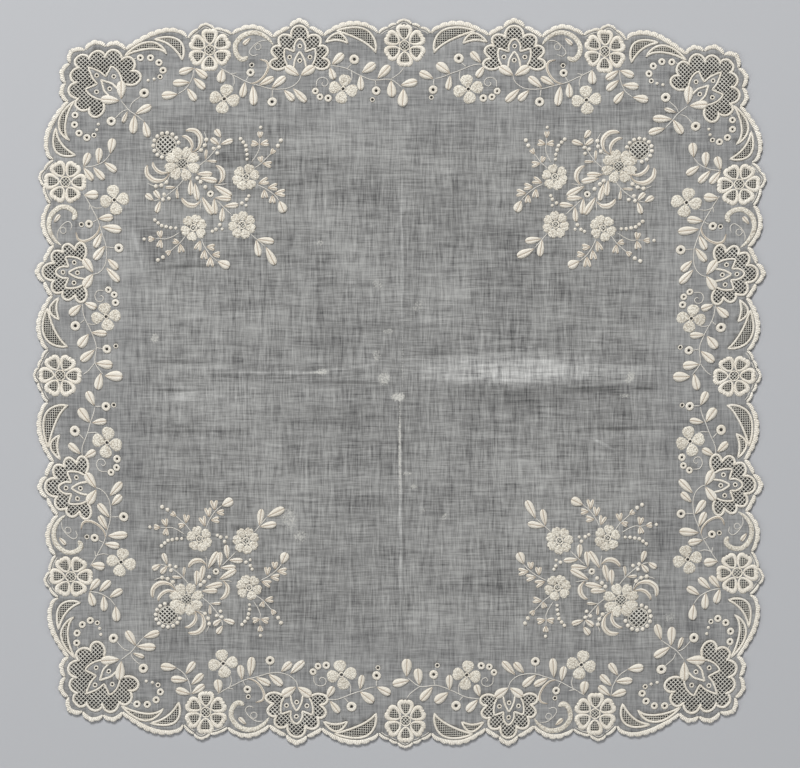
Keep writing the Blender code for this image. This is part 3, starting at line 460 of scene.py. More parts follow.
class Web:
    """The shader nodes of one material, and the links between them."""

    def __init__(self, name: str) -> None:
        """Starts a material.

        Args:
            name: Its name.
        """
        self.material = bpy.data.materials.new(name)
        self.material.use_nodes = True
        self.nodes = self.material.node_tree.nodes
        self.links = self.material.node_tree.links
        self.shader = self.nodes["Principled BSDF"]

    def add(self, kind: str, **settings: object) -> bpy.types.Node:
        """Adds a node.

        Args:
            kind: The node's type.
            settings: Its properties, or its inputs by name.

        Returns:
            The node.
        """
        node = self.nodes.new(kind)
        for name, value in settings.items():
            if hasattr(node, name):
                setattr(node, name, value)
            else:
                node.inputs[name.replace("_", " ")].default_value = value
        return node

    def feed(self, socket: bpy.types.NodeSocket, value: object) -> None:
        """Feeds an input.

        Args:
            socket: The input.
            value: A number, a colour or another node's output socket.
        """
        if isinstance(value, (int, float, tuple)):
            socket.default_value = value
        else:
            self.links.new(value, socket)

    def dress(self, settings: dict[str, object]) -> None:
        """Sets the shader's own sockets.

        Args:
            settings: Values or output sockets, by the name of the input.
        """
        for name, value in settings.items():
            self.feed(self.shader.inputs[name], value)

    def sum_up(self, operation: str, *values: object) -> bpy.types.NodeSocket:
        """Adds a Math node.

        Args:
            operation: What the node does.
            values: A socket or a number for each input.

        Returns:
            The node's output socket.
        """
        node = self.add("ShaderNodeMath", operation=operation)
        for socket, value in zip(node.inputs, values):
            self.feed(socket, value)
        return node.outputs[0]

    def blend(self, share: object, low: object, high: object) -> bpy.types.NodeSocket:
        """Mixes two colours.

        Args:
            share: A socket that gives how much of the second colour there is.
            low: The first colour, as a socket or a value.
            high: The second colour, likewise.

        Returns:
            The mixed colour's socket.
        """
        node = self.add("ShaderNodeMix", data_type="RGBA")
        for number, value in ((0, share), (6, low), (7, high)):
            self.feed(node.inputs[number], value)
        return node.outputs[2]

    def ramp(self, value: object, start: float, end: float, low: float = 0.0, high: float = 1.0,
             interpolation: str = "LINEAR") -> bpy.types.NodeSocket:
        """Turns a range of values into a range of strengths.

        Args:
            value: The socket that gives the value.
            start: The value that gives the first strength.
            end: The value that gives the second.
            low: The first strength.
            high: The second strength.
            interpolation: How it runs from one to the other.

        Returns:
            The strength's socket.
        """
        node = self.add("ShaderNodeMapRange", interpolation_type=interpolation)
        for name, number in (("From Min", start), ("From Max", end), ("To Min", low), ("To Max", high)):
            node.inputs[name].default_value = number
        self.feed(node.inputs["Value"], value)
        return node.outputs[0]

    def noise(self, point: object, scale: float, detail: float,
              roughness: float = 0.5) -> bpy.types.NodeSocket:
        """Adds cloudy noise.

        Args:
            point: The place that it is read at.
            scale: Its scale.
            detail: How many finer layers it has.
            roughness: How strong they are.

        Returns:
            The noise's socket.
        """
        node = self.add("ShaderNodeTexNoise", Scale=scale, Detail=detail, Roughness=roughness)
        self.feed(node.inputs["Vector"], point)
        return node.outputs["Fac"]

    def millimetres(self) -> bpy.types.NodeSocket:
        """The place on the piece in millimetres. Returns its socket."""
        place = self.add("ShaderNodeTexCoord")
        scaled = self.add("ShaderNodeMapping", Scale=(1.0 / MM, 1.0 / MM, 1.0 / MM))
        self.feed(scaled.inputs["Vector"], place.outputs["Object"])
        return scaled.outputs[0]

    def split(self, vector: object) -> list[bpy.types.NodeSocket]:
        """Splits a vector. Returns its three sockets."""
        node = self.add("ShaderNodeSeparateXYZ")
        self.feed(node.inputs[0], vector)
        return list(node.outputs)

    def bump(self, height: object, strength: float, depth: float) -> bpy.types.NodeSocket:
        """Raises the surface.

        Args:
            height: The socket that gives how high each place is.
            strength: How much of it shows.
            depth: Its full height in millimetres.

        Returns:
            The raised surface's socket.
        """
        node = self.add("ShaderNodeBump", Strength=strength, Distance=depth * MM)
        self.feed(node.inputs["Height"], height)
        return node.outputs[0]


@dataclass(frozen=True)
class Finish:
    """A finish made of shader nodes."""

    name: str

    def material(self) -> bpy.types.Material:
        """Makes the finish. Each kind of finish has its own."""
        raise NotImplementedError


@dataclass(frozen=True)
class StitchedCotton(Finish):
    """Lustrous cream cotton, stitched side by side across a shape, with painted shade in the dips between
    its threads, and between its seeds where it is seeded.

    Painted shade darkens it from one height over the table down to the other, as shade falls down in a
    hole.
    """

    light: Colour = (1.0, 0.96, 0.87)
    dark: Colour = (0.74, 0.67, 0.55)
    # Painted shade: the near-black colour of the stitches down in a hole
    shade: Colour = (0.025, 0.022, 0.020)
    # Painted shade: the colour down a leaf's middle groove
    vein_shade: Colour = (0.42, 0.33, 0.24)
    tone: float = 0.9
    grain: float = 0.35
    dip_shade: float = 0.30
    bias: float = -0.22
    stitch: float = 0.42
    slant: float = 0.0
    relief: float = 0.8
    depth: float = 0.16
    vein_shade_width: float = 0.0
    vein_shade_strength: float = 0.95
    shade_heights: tuple[float, float] = (0.97, 0.62)
    seed_scale: float = 1.25
    seed_unevenness: float = 0.95
    seeded: bool = False

    def material(self) -> bpy.types.Material:
        """Makes the finish.

        Returns:
            Its material, which reads the stitch map in millimetres.
        """
        web = Web(self.name)
        web.dress({"Roughness": 0.62, "Specular IOR Level": 0.32})
        web.dress({"Sheen Weight": 0.12, "Sheen Roughness": 0.45})
        point = web.millimetres()
        threads = self._seeds(web, point) if self.seeded else self._rows(web)
        mixed = web.sum_up("MULTIPLY_ADD", web.noise(point, 0.11, 3.0), self.tone, self.bias)
        # Painted shade: the colour darkens where the threads or seeds dip, between the stitches
        mixed = web.sum_up("MULTIPLY_ADD", threads, self.dip_shade, mixed)
        mixed = web.sum_up("MULTIPLY_ADD", web.noise(point, 1.6, 2.0), self.grain, mixed)
        colour = web.blend(mixed, (*self.dark, 1.0), (*self.light, 1.0))
        # Painted shade in the groove down the middle of a leaf
        if self.vein_shade_width:
            colour = web.blend(self._vein_shade(web), colour, (*self.vein_shade, 1.0))
        # Painted shade: darker from the first shade height down to the second, as down in a hole
        painted_hole_shade = web.ramp(web.split(point)[2], *self.shade_heights, interpolation="SMOOTHSTEP")
        colour = web.blend(painted_hole_shade, colour, (*self.shade, 1.0))
        web.dress({"Base Color": colour, "Normal": web.bump(threads, self.relief, self.depth)})
        return web.material

    def _stitch_map(self, web: Web) -> tuple[bpy.types.NodeSocket, bpy.types.NodeSocket]:
        """The place on the stitch map. Returns how far along it lies and how far off the middle."""
        stitches = web.add("ShaderNodeUVMap", uv_map=STITCH_MAP)
        along, across, _ = web.split(stitches.outputs[0])
        return along, web.sum_up("ABSOLUTE", across)

    def _rows(self, web: Web) -> bpy.types.NodeSocket:
        """Threads side by side along the stitch map. Returns their height."""
        along, away = self._stitch_map(web)
        slanted = web.sum_up("MULTIPLY_ADD", away, self.slant, along)
        wave = web.sum_up("SINE", web.sum_up("MULTIPLY", slanted, 2.0 * math.pi / self.stitch))
        return web.sum_up("MULTIPLY_ADD", wave, 0.5, 0.5)

    def _vein_shade(self, web: Web) -> bpy.types.NodeSocket:
        """Painted shade along the middle line of a leaf, where its two rows of stitches meet. Returns its
        strength.
        """
        away = self._stitch_map(web)[1]
        return web.ramp(away, 0.0, self.vein_shade_width, self.vein_shade_strength, 0.0, "SMOOTHSTEP")

    def _seeds(self, web: Web, point: object) -> bpy.types.NodeSocket:
        """Small knots set close together. Returns their height."""
        seeds = web.add("ShaderNodeTexVoronoi", Scale=self.seed_scale, Randomness=self.seed_unevenness)
        web.feed(seeds.inputs["Vector"], point)
        return web.sum_up("SUBTRACT", 1.0, seeds.outputs["Distance"])


@dataclass(frozen=True)
class SheerLawn(Finish):
    """Sheer lawn: uneven threads both ways, cloudy wear, pale worn places and a little see-through.

    Each kind of streak has a weight and its frequencies across, along and through the cloth.
    """

    light: Colour = (0.52, 0.52, 0.505)
    dark: Colour = (0.105, 0.105, 0.105)
    border: Colour = (0.33, 0.335, 0.345)
    worn: Colour = (0.72, 0.71, 0.66)
    sheerness: float = 0.10
    streaks: tuple[tuple[float, Colour], ...] = (
        (1.6, (1.30, 0.10, 1.0)), (1.3, (0.10, 1.30, 1.0)), (0.9, (0.55, 0.035, 1.0)),
        (0.9, (0.030, 0.50, 1.0)), (0.5, (0.15, 0.012, 1.0)), (0.5, (0.010, 0.14, 1.0)),
        (0.8, (0.024, 0.030, 1.0)),
    )
    streak_range: tuple[float, float] = (2.62, 3.90)
    crease_wear_and_shade_strength: float = 0.45
    darkest_crease_shade: float = 0.45
    worn_noise: float = 2.8
    worn_range: tuple[float, float] = (1.92, 2.90)
    worn_strength: float = 0.90
    border_range: tuple[float, float] = (112.0, 168.0)
    border_strength: float = 0.3
    relief: float = 0.5
    depth: float = 0.12

    def material(self) -> bpy.types.Material:
        """Makes the finish.

        Returns:
            Its material, which reads Object coordinates in millimetres.
        """
        web = Web(self.name)
        web.dress({"Roughness": 0.85, "Specular IOR Level": 0.2})
        point = web.millimetres()
        threads = 0.0
        for weight, stretch in self.streaks:
            threads = web.sum_up("MULTIPLY_ADD", self._streaks(web, point, stretch), weight, threads)
        colour = web.blend(web.ramp(threads, *self.streak_range), (*self.dark, 1.0), (*self.light, 1.0))
        colour = web.blend(self._border(web, point), colour, (*self.border, 1.0))
        # Creases: crease wear, with painted highlight and painted shade of the folds
        colour = self._crease_wear_and_shade(web, point, colour)
        colour = web.blend(self._worn(web, point), colour, (*self.worn, 1.0))
        web.dress({"Base Color": colour, "Normal": web.bump(threads, self.relief, self.depth)})
        clear = web.add("ShaderNodeBsdfTransparent")
        sheer = web.add("ShaderNodeMixShader")
        for number, value in enumerate((self.sheerness, web.shader.outputs[0], clear.outputs[0])):
            web.feed(sheer.inputs[number], value)
        web.feed(web.nodes["Material Output"].inputs["Surface"], sheer.outputs[0])
        return web.material

    def _streaks(self, web: Web, point: object, stretch: Colour) -> bpy.types.NodeSocket:
        """Long or broad streaks of thicker threads. Returns their weight."""
        stretched = web.add("ShaderNodeMapping", Scale=stretch)
        web.feed(stretched.inputs["Vector"], point)
        return web.noise(stretched.outputs[0], 1.0, 3.0, 0.6)

    def _marks(self, web: Web, point: object, table: tuple[tuple[float, ...], ...]) -> object:
        """Soft oval marks, long ones for creases.

        Args:
            web: The material's nodes.
            point: The place in millimetres.
            table: Rows of place, half length, half width, turn and strength.

        Returns:
            The sum of the marks.
        """
        total = 0.0
        for x, y, length, width, turn, strength in table:
            place = web.add("ShaderNodeMapping", vector_type="TEXTURE", Location=(x, y, 0.0),
                            Rotation=(0.0, 0.0, math.radians(turn)), Scale=(length, width, 1000.0))
            web.feed(place.inputs["Vector"], point)
            oval = web.add("ShaderNodeTexGradient", gradient_type="SPHERICAL")
            web.feed(oval.inputs[0], place.outputs[0])
            mark = web.ramp(oval.outputs["Fac"], 0.0, MARK_CORE, 0.0, strength)
            total = web.sum_up("ADD", mark, total)
        return total

    def _crease_wear_and_shade(self, web: Web, point: object, colour: object) -> bpy.types.NodeSocket:
        """Lightens or darkens a colour by the creases: crease wear, with painted highlight on fold slopes
        and painted shade in wrinkles.

        Args:
            web: The material's nodes.
            point: The place in millimetres.
            colour: The colour.

        Returns:
            The creased colour's socket.
        """
        creases = self._marks(web, point, CREASE_WEAR_AND_SHADE)
        factor = web.sum_up("MULTIPLY_ADD", creases, self.crease_wear_and_shade_strength, 1.0)
        node = web.add("ShaderNodeVectorMath", operation="SCALE")
        web.feed(node.inputs[0], colour)
        web.feed(node.inputs["Scale"], web.sum_up("MAXIMUM", factor, self.darkest_crease_shade))
        return node.outputs[0]

    def _worn(self, web: Web, point: object) -> bpy.types.NodeSocket:
        """Pale worn places with ragged edges. Returns how worn the cloth is."""
        ragged = web.noise(point, 1.15, 2.0, 0.7)
        worn = web.sum_up("MULTIPLY_ADD", ragged, self.worn_noise, self._marks(web, point, WORN_PLACES))
        return web.ramp(worn, *self.worn_range, 0.0, self.worn_strength)

    def _border(self, web: Web, point: object) -> bpy.types.NodeSocket:
        """The firmer, bluish cloth towards the edges. Returns its strength."""
        x, y, _ = web.split(point)
        away = web.sum_up("MAXIMUM", web.sum_up("ABSOLUTE", x), web.sum_up("ABSOLUTE", y))
        return web.ramp(away, *self.border_range, 0.0, self.border_strength, "SMOOTHSTEP")


@dataclass(frozen=True)
class PlainFloor(Finish):
    """A plain pale floor."""

    colour: Colour = (0.50, 0.51, 0.53)
    roughness: float = 0.9

    def material(self) -> bpy.types.Material:
        """Makes the finish. Returns its material."""
        web = Web(self.name)
        web.dress({"Base Color": (*self.colour, 1.0), "Roughness": self.roughness})
        return web.material


def curve_through(points: object, step: float = STITCH_STEP, closed: bool = False) -> np.ndarray:
    """A smooth curve through given points.

    Args:
        points: The points, with any number of values each.
        step: Distance between the curve's own points.
        closed: Whether it runs round to its start.

    Returns:
        The curve's points, one row each; a closed curve doesn't repeat its first.
    """
    knots = np.array(points, dtype=float)
    if closed:
        padded = np.vstack((knots[-1:], knots, knots[:2]))
    else:
        padded = np.vstack((2 * knots[:1] - knots[1:2], knots, 2 * knots[-1:] - knots[-2:-1]))
    pieces = []
    for p0, p1, p2, p3 in zip(padded, padded[1:], padded[2:], padded[3:]):
        count = max(2, math.ceil(float(np.hypot(*(p2 - p1)[:2])) / step))
        t = np.arange(count)[:, None] / count
        pieces.append(0.5 * (2 * p1 + (p2 - p0) * t + (2 * p0 - 5 * p1 + 4 * p2 - p3) * t ** 2
                             + (3 * p1 - p0 - 3 * p2 + p3) * t ** 3))
    if not closed:
        pieces.append(knots[-1:])
    return np.vstack(pieces)


def bow_curve(bow: tuple[float, ...], rise: float, peak: float, shares: np.ndarray) -> np.ndarray:
    """Points of a bow.

    Args:
        bow: Its row of a table, with its two ends first.
        rise: Its height over the line between its ends.
        peak: The share of its length where it is highest.
        shares: Where the points lie along it.

    Returns:
        The points as chart a and d, one row each.
    """
    start, end = np.array(bow[:2]), np.array(bow[2:4])
    run = end - start
    out = np.array((run[1], -run[0])) / np.hypot(*run)
    warped = np.clip(shares, 0.0, 1.0) ** (math.log(0.5) / math.log(peak))
    height = rise * np.abs(np.sin(math.pi * warped)) ** 0.8
    return start + run * shares[:, None] + out * height[:, None]


class Unit:
    """A part of the chart that repeats: its stitches by kind, and the openings under them."""

    def __init__(self) -> None:
        """Starts an empty unit."""
        self.stitches: dict[Work, bmesh.types.BMesh] = {}
        self.openings: list[np.ndarray] = []

    def mesh(self, work: Work) -> bmesh.types.BMesh:
        """The mesh that holds one kind of work.

        Args:
            work: The kind.

        Returns:
            Its mesh, made on first use with its stitch map.
        """
        if work not in self.stitches:
            made = bmesh.new()
            made.loops.layers.uv.new(STITCH_MAP)
            self.stitches[work] = made
        return self.stitches[work]

    def lay_grid(self, work: Work, places: np.ndarray, stitches: np.ndarray) -> None:
        """Lays a grid of points as one surface.

        Args:
            work: The kind of work.
            places: Rows along and columns from left to right, with x, y and z.
            stitches: The same grid's place on the stitch map.
        """
        mesh = self.mesh(work)
        rows, columns = places.shape[:2]
        grid = bmesh.ops.create_grid(mesh, x_segments=columns - 1, y_segments=rows - 1, size=1.0)
        layer = mesh.loops.layers.uv[STITCH_MAP]
        for vert, place, stitch in zip(grid["verts"], places.reshape(-1, 3), stitches.reshape(-1, 2)):
            vert.co = place
            for loop in vert.link_loops:
                loop[layer].uv = stitch

    def cord(self, work: Work, route: np.ndarray, width: object, top: float, foot: float = -0.35,
             sides: int = 8, closed: bool = False, squareness: float = 1.0, end: float = 0.45) -> None:
        """Lays a padded line along a route, oval in section, with closed ends.

        Args:
            work: The kind of work.
            route: Points in order, with x and y.
            width: Its width, one for all or one for each point.
            top: Height over the cloth.
            foot: Depth of its underside from the cloth.
            sides: Sides of its section.
            closed: Whether it runs round to its start.
            squareness: One for an oval section, less for a squarer one.
            end: Width of its two ends, as a share of its own.
        """
        route = np.asarray(route, dtype=float)[:, :2]
        width = np.broadcast_to(np.asarray(width, dtype=float), (len(route),))
        if closed:
            run = np.roll(route, -1, axis=0) - np.roll(route, 1, axis=0)
            route, run = np.vstack((route, route[:1])), np.vstack((run, run[:1]))
            width = np.append(width, width[0])
        else:
            run = np.gradient(route, axis=0)
            route, run = np.vstack((route[:1], route, route[-1:])), np.vstack((run[:1], run, run[-1:]))
            width = np.concatenate(([0.0, width[0] * end], width[1:-1], [width[-1] * end, 0.0]))
            if len(width) > 7:
                width[[2, -3]] *= (1.0 + end) / 2.0
        run = run / np.maximum(np.linalg.norm(run, axis=1, keepdims=True), 1e-6)
        right = np.stack((run[:, 1], -run[:, 0]), axis=1)
        angle = np.linspace(0.0, 2.0 * math.pi, sides + 1)
        round_section = (-np.cos(angle), np.sin(angle))
        across, upward = (np.sign(part) * np.abs(part) ** squareness for part in round_section)
        fullness = np.sqrt(width / width.max())[:, None]
        reach = across[None, :] * width[:, None] / 2.0
        height = (top + foot) / 2.0 + upward[None, :] * (top - foot) / 2.0 * fullness
        places = np.dstack((route[:, None, :] + right[:, None, :] * reach[:, :, None], height))
        along = np.concatenate(([0.0], np.cumsum(np.linalg.norm(np.diff(route, axis=0), axis=1))))
        stitches = np.dstack(np.broadcast_arrays(along[:, None], reach))
        self.lay_grid(work, places, stitches)

    def pad(self, work: Work, leaf: tuple[float, ...], top: float, blunt: float = 0.0, groove: float = 0.3,
            notch: float = 0.0) -> None:
        """Lays a padded leaf or petal.

        Args:
            work: The kind of work.
            leaf: Stalk end, round end and width.
            top: Height over the cloth.
            blunt: From 0 for a leaf, pointed at its stalk, to 1 for a round petal.
            groove: Depth of its middle line, as a share of its height.
            notch: Depth of the notch in its round end, as a share of its length.
        """
        start, end, width = np.array(leaf[:2]), np.array(leaf[2:4]), leaf[4] * LEAF_FULLNESS
        run = end - start
        length = float(np.hypot(*run))
        right = np.array((run[1], -run[0])) / length
        rows = max(9, round(length / STITCH_STEP))
        share = (1.0 - np.cos(np.linspace(0.0, math.pi, rows + 1))) / 2.0
        tear = share ** 0.95 * np.sqrt(1.0 - share)
        rounded = np.abs(np.sin(math.pi * share ** 1.3)) ** 0.5
        outline = (1.0 - blunt) * tear / tear.max() + blunt * rounded
        outline[[0, -1]] = 0.0
        across = np.array((-1.0, -0.88, -0.62, -0.24, 0.0, 0.24, 0.62, 0.88, 1.0, -1.0))
        crown = np.array((0.0, 0.60, 0.93, 1.0, 1.0 - groove, 1.0, 0.93, 0.60, 0.0, 0.0))
        reach = outline[:, None] * across[None, :] * width / 2.0
        onward = share[:, None] * (1.0 - notch * (1.0 - np.abs(across[None, :])) ** 2 * share[:, None] ** 6)
        onward[-1] = onward[-1].min()
        places = start + run * onward[:, :, None] + right * reach[:, :, None]
        fullness = np.minimum(1.0, outline * 1.6)[:, None]
        height = PAD_FOOT + (top - PAD_FOOT) * crown[None, :] * np.sqrt(fullness)
        stitches = np.dstack(np.broadcast_arrays((share * length)[:, None], reach))
        self.lay_grid(work, np.dstack((places, height)), stitches)

    def cell(self, work: Work, outline: np.ndarray, width: object, top: float, pitch: float, turn: float,
             thread: float) -> None:
        """Works a padded rim round an opening and a needle net inside it.

        Args:
            work: The rim's kind of work.
            outline: The rim's middle line, as a closed curve.
            width: Width of the rim, one for all or one for each point.
            top: Height of the rim over the cloth.
            pitch: From one thread of the net to the next.
            turn: Direction of the net, in degrees.
            thread: Thickness of a thread.
        """
        self.cord(work, outline, width, top, WELL_FOOT, closed=True)
        self.net(outline[:, :2], pitch, turn, thread)

    def net(self, outline: np.ndarray, pitch: float, turn: float, thread: float) -> None:
        """Opens the cloth and works a needle net across, from rim to rim.

        Args:
            outline: The opening, as a closed curve.
            pitch: From one thread to the next.
            turn: Direction of the first threads, in degrees.
            thread: Thickness of a thread.
        """
        self.openings.append(outline)
        shortest = pitch * 0.4
        for number, angle in enumerate((turn, turn + 90.0)):
            lift = THREAD_LIFT * number
            run = np.array((math.cos(math.radians(angle)), math.sin(math.radians(angle))))
            side = np.array((-run[1], run[0]))
            along, away = outline @ run, outline @ side
            lines = np.arange(math.floor(away.min() / pitch) + 1, math.ceil(away.max() / pitch)) * pitch
            for line in lines:
                gap, following = away - line, np.roll(away, -1) - line
                crossed = (gap > 0.0) != (following > 0.0)
                share = gap[crossed] / (gap[crossed] - following[crossed])
                places = np.sort(along[crossed] + (np.roll(along, -1)[crossed] - along[crossed]) * share)
                for first, last in zip(places[::2], places[1::2]):
                    if last - first > shortest:
                        ends = np.array((first - THREAD_REACH, last + THREAD_REACH))
                        route = run * ends[:, None] + side * line
                        self.cord(Work.NET, route, thread, THREAD_TOP + lift, WELL_FOOT + lift,
                                  sides=CORD_SIDES, squareness=0.35, end=1.0)

    def eyelet(self, place: tuple[float, float, float, float]) -> None:
        """Works a padded ring round a pierced hole.

        Args:
            place: Middle x and y, outer radius and the hole's radius.
        """
        x, y, radius, hole = place
        hole *= HOLE_SHARE
        angle = np.linspace(0.0, 2.0 * math.pi, EYELET_POINTS, endpoint=False)
        ring = np.stack((np.cos(angle), np.sin(angle)), axis=1)
        middle = (radius + hole) / 2.0
        width = radius - hole
        top = 0.12 + radius * 0.18
        self.cord(Work.EYELET, (x, y) + ring * middle, width, top, WELL_FOOT, sides=10, closed=True,
                  squareness=0.6)
        self.openings.append((x, y) + ring[::2] * (hole + width * 0.3))

    def dot(self, place: tuple[float, float, float]) -> None:
        """Works a small round satin dot.

        Args:
            place: Middle x and y, and radius.
        """
        x, y, radius = place
        mesh = self.mesh(Work.DOT)
        ball = bmesh.ops.create_icosphere(mesh, subdivisions=2, radius=radius)
        layer = mesh.loops.layers.uv[STITCH_MAP]
        for vert in ball["verts"]:
            for loop in vert.link_loops:
                loop[layer].uv = (vert.co.x, 0.0)
        bmesh.ops.scale(mesh, vec=(1.0, 1.0, DOT_FLATNESS), verts=ball["verts"])
        bmesh.ops.translate(mesh, vec=(x, y, DOT_MIDDLE), verts=ball["verts"])

    def close(self) -> None:
        """Closes the seams and poles of every kind of work."""
        for mesh in self.stitches.values():
            bmesh.ops.remove_doubles(mesh, verts=mesh.verts, dist=SEAM_GAP)


def petal_turns(count: int, first: float) -> list[float]:
    """Even turns round a flower, in degrees."""
    return [first + 360.0 * number / count for number in range(count)]


def ringed(centre: Spot, radius: float, turn: float) -> Spot:
    """A point on a ring, with its turn in degrees."""
    angle = math.radians(turn)
    return (centre[0] + radius * math.cos(angle), centre[1] + radius * math.sin(angle))


def ring_of(centre: Spot, radius: float, count: int) -> np.ndarray:
    """Even points on a ring, one row each."""
    return np.array([ringed(centre, radius, turn) for turn in petal_turns(count, 0.0)])


@dataclass(frozen=True)
class NettedRing:
    """A padded ring round a needle net."""

    radius: float
    points: int
    rim: float
    top: float
    pitch: float
    thread: float
    turn: float = 45.0

    def work(self, unit: Unit, centre: Spot) -> None:
        """Works the ring and its net.

        Args:
            unit: The unit that it belongs to.
            centre: Its middle.
        """
        outline = ring_of(centre, self.radius, self.points)
        unit.cell(Work.RIM, outline, self.rim, self.top, self.pitch, self.turn, self.thread)


@dataclass(frozen=True)
class Rosette:
    """Six netted petals with thick, bumpy outer ends round a netted middle.

    Half a petal is given as x, y and width of its rim, from its inner end to the outer one.
    """

    first: float = 30.0
    top: float = 0.62
    net_pitch: float = 1.15
    net_thread: float = 0.32
    petal: tuple[tuple[float, float, float], ...] = (
        (3.3, 0.0, 0.9), (3.9, 1.2, 1.1), (5.0, 2.1, 1.4), (6.4, 2.8, 1.7), (7.9, 3.25, 2.1),
        (9.2, 2.95, 2.5), (9.95, 1.75, 2.6), (9.7, 0.8, 2.0), (10.05, 0.0, 2.5))
    middle: NettedRing = NettedRing(radius=2.6, points=16, rim=0.75, top=0.5, pitch=1.3, thread=0.45)

    def work(self, unit: Unit, centre: Spot) -> None:
        """Works a rosette.

        Args:
            unit: The unit that it belongs to.
            centre: Its middle.
        """
        half = np.array(self.petal)
        whole = np.vstack((half, half[-2:0:-1] * (1.0, -1.0, 1.0)))
        outline = curve_through(whole, RIM_STEP, closed=True)
        for turn in petal_turns(6, self.first):
            angle = math.radians(turn)
            spin = np.array(((math.cos(angle), math.sin(angle)), (-math.sin(angle), math.cos(angle))))
            route = outline[:, :2] @ spin + centre
            unit.cell(Work.RIM, route, outline[:, 2], self.top, self.net_pitch, 0.0, self.net_thread)
        self.middle.work(unit, centre)


@dataclass(frozen=True)
class FanStitches:
    """Sizes that the fans share: their rims and their nets."""

    rim: float = 1.4
    inner_rim: float = 1.1
    top: float = 0.6
    net_pitch: float = 1.55
    net_turn: float = 45.0
    net_thread: float = 0.46


@dataclass(frozen=True)
class Fan(FanStitches):
    """Seven netted lobes round a flower on two leaves."""

    inner_top: float = 0.54
    leaf_top: float = 0.85

    def work(self, unit: Unit) -> None:
        """Works the fan of half a side.

        Args:
            unit: The unit that it belongs to.
        """
        join = np.array((FAN_JOIN[0], HALF_SIDE - FAN_JOIN[1]))
        mirror_x = (-1.0, 1.0)
        outside = curve_through(FAN_NET_OUTSIDE, RIM_STEP)
        inside = curve_through(FAN_NET_INSIDE, RIM_STEP)
        ring = np.vstack((outside, outside[-2::-1] * mirror_x, inside * mirror_x, inside[-2::-1]))
        unit.net(ring + join, self.net_pitch, self.net_turn, self.net_thread)
        unit.cord(Work.RIM, curve_through(FAN_TOP_LOBE, RIM_STEP) + join, self.rim, self.top, WELL_FOOT)
        for lobe in FAN_LOBES:
            for mirror in (1.0, -1.0):
                route = curve_through(lobe, RIM_STEP) * (mirror, 1.0) + join
                unit.cord(Work.RIM, route[::int(mirror)], self.rim, self.top, WELL_FOOT)
        side = np.array(FAN_SIDE_PETAL)
        for petal in (side, side * mirror_x, np.array(FAN_TOP_PETAL), np.array(FAN_MIDDLE_PETAL)):
            unit.cord(Work.RIM, curve_through(petal + join, RIM_STEP), self.inner_rim, self.inner_top)
        x0, y0, x1, y1, width = FAN_LEAF
        for mirror in (1.0, -1.0):
            leaf = (join[0] + x0 * mirror, join[1] + y0, join[0] + x1 * mirror, join[1] + y1, width)
            unit.pad(Work.LEAF, leaf, self.leaf_top)
        for x, y, radius, hole in FAN_EYELETS:
            for mirror in ((1.0, -1.0) if x else (1.0,)):
                unit.eyelet((join[0] + x * mirror, join[1] + y, radius, hole))


@dataclass(frozen=True)
class Flower:
    """A flower of seeded petals round an eyelet or a netted middle."""

    length: float
    width: float
    start: float
    notch: float = 0.14
    top: float = 0.42

    def work(self, unit: Unit, centre: Spot, turns: list[float]) -> None:
        """Works the petals.

        Args:
            unit: The unit that they belong to.
            centre: The flower's middle.
            turns: Turn of each petal, in degrees.
        """
        for turn in turns:
            inner = ringed(centre, self.start, turn)
            outer = ringed(centre, self.start + self.length, turn)
            petal = (*inner, *outer, self.width)
            unit.pad(Work.SEED, petal, self.top, blunt=0.85, groove=0.1, notch=self.notch)


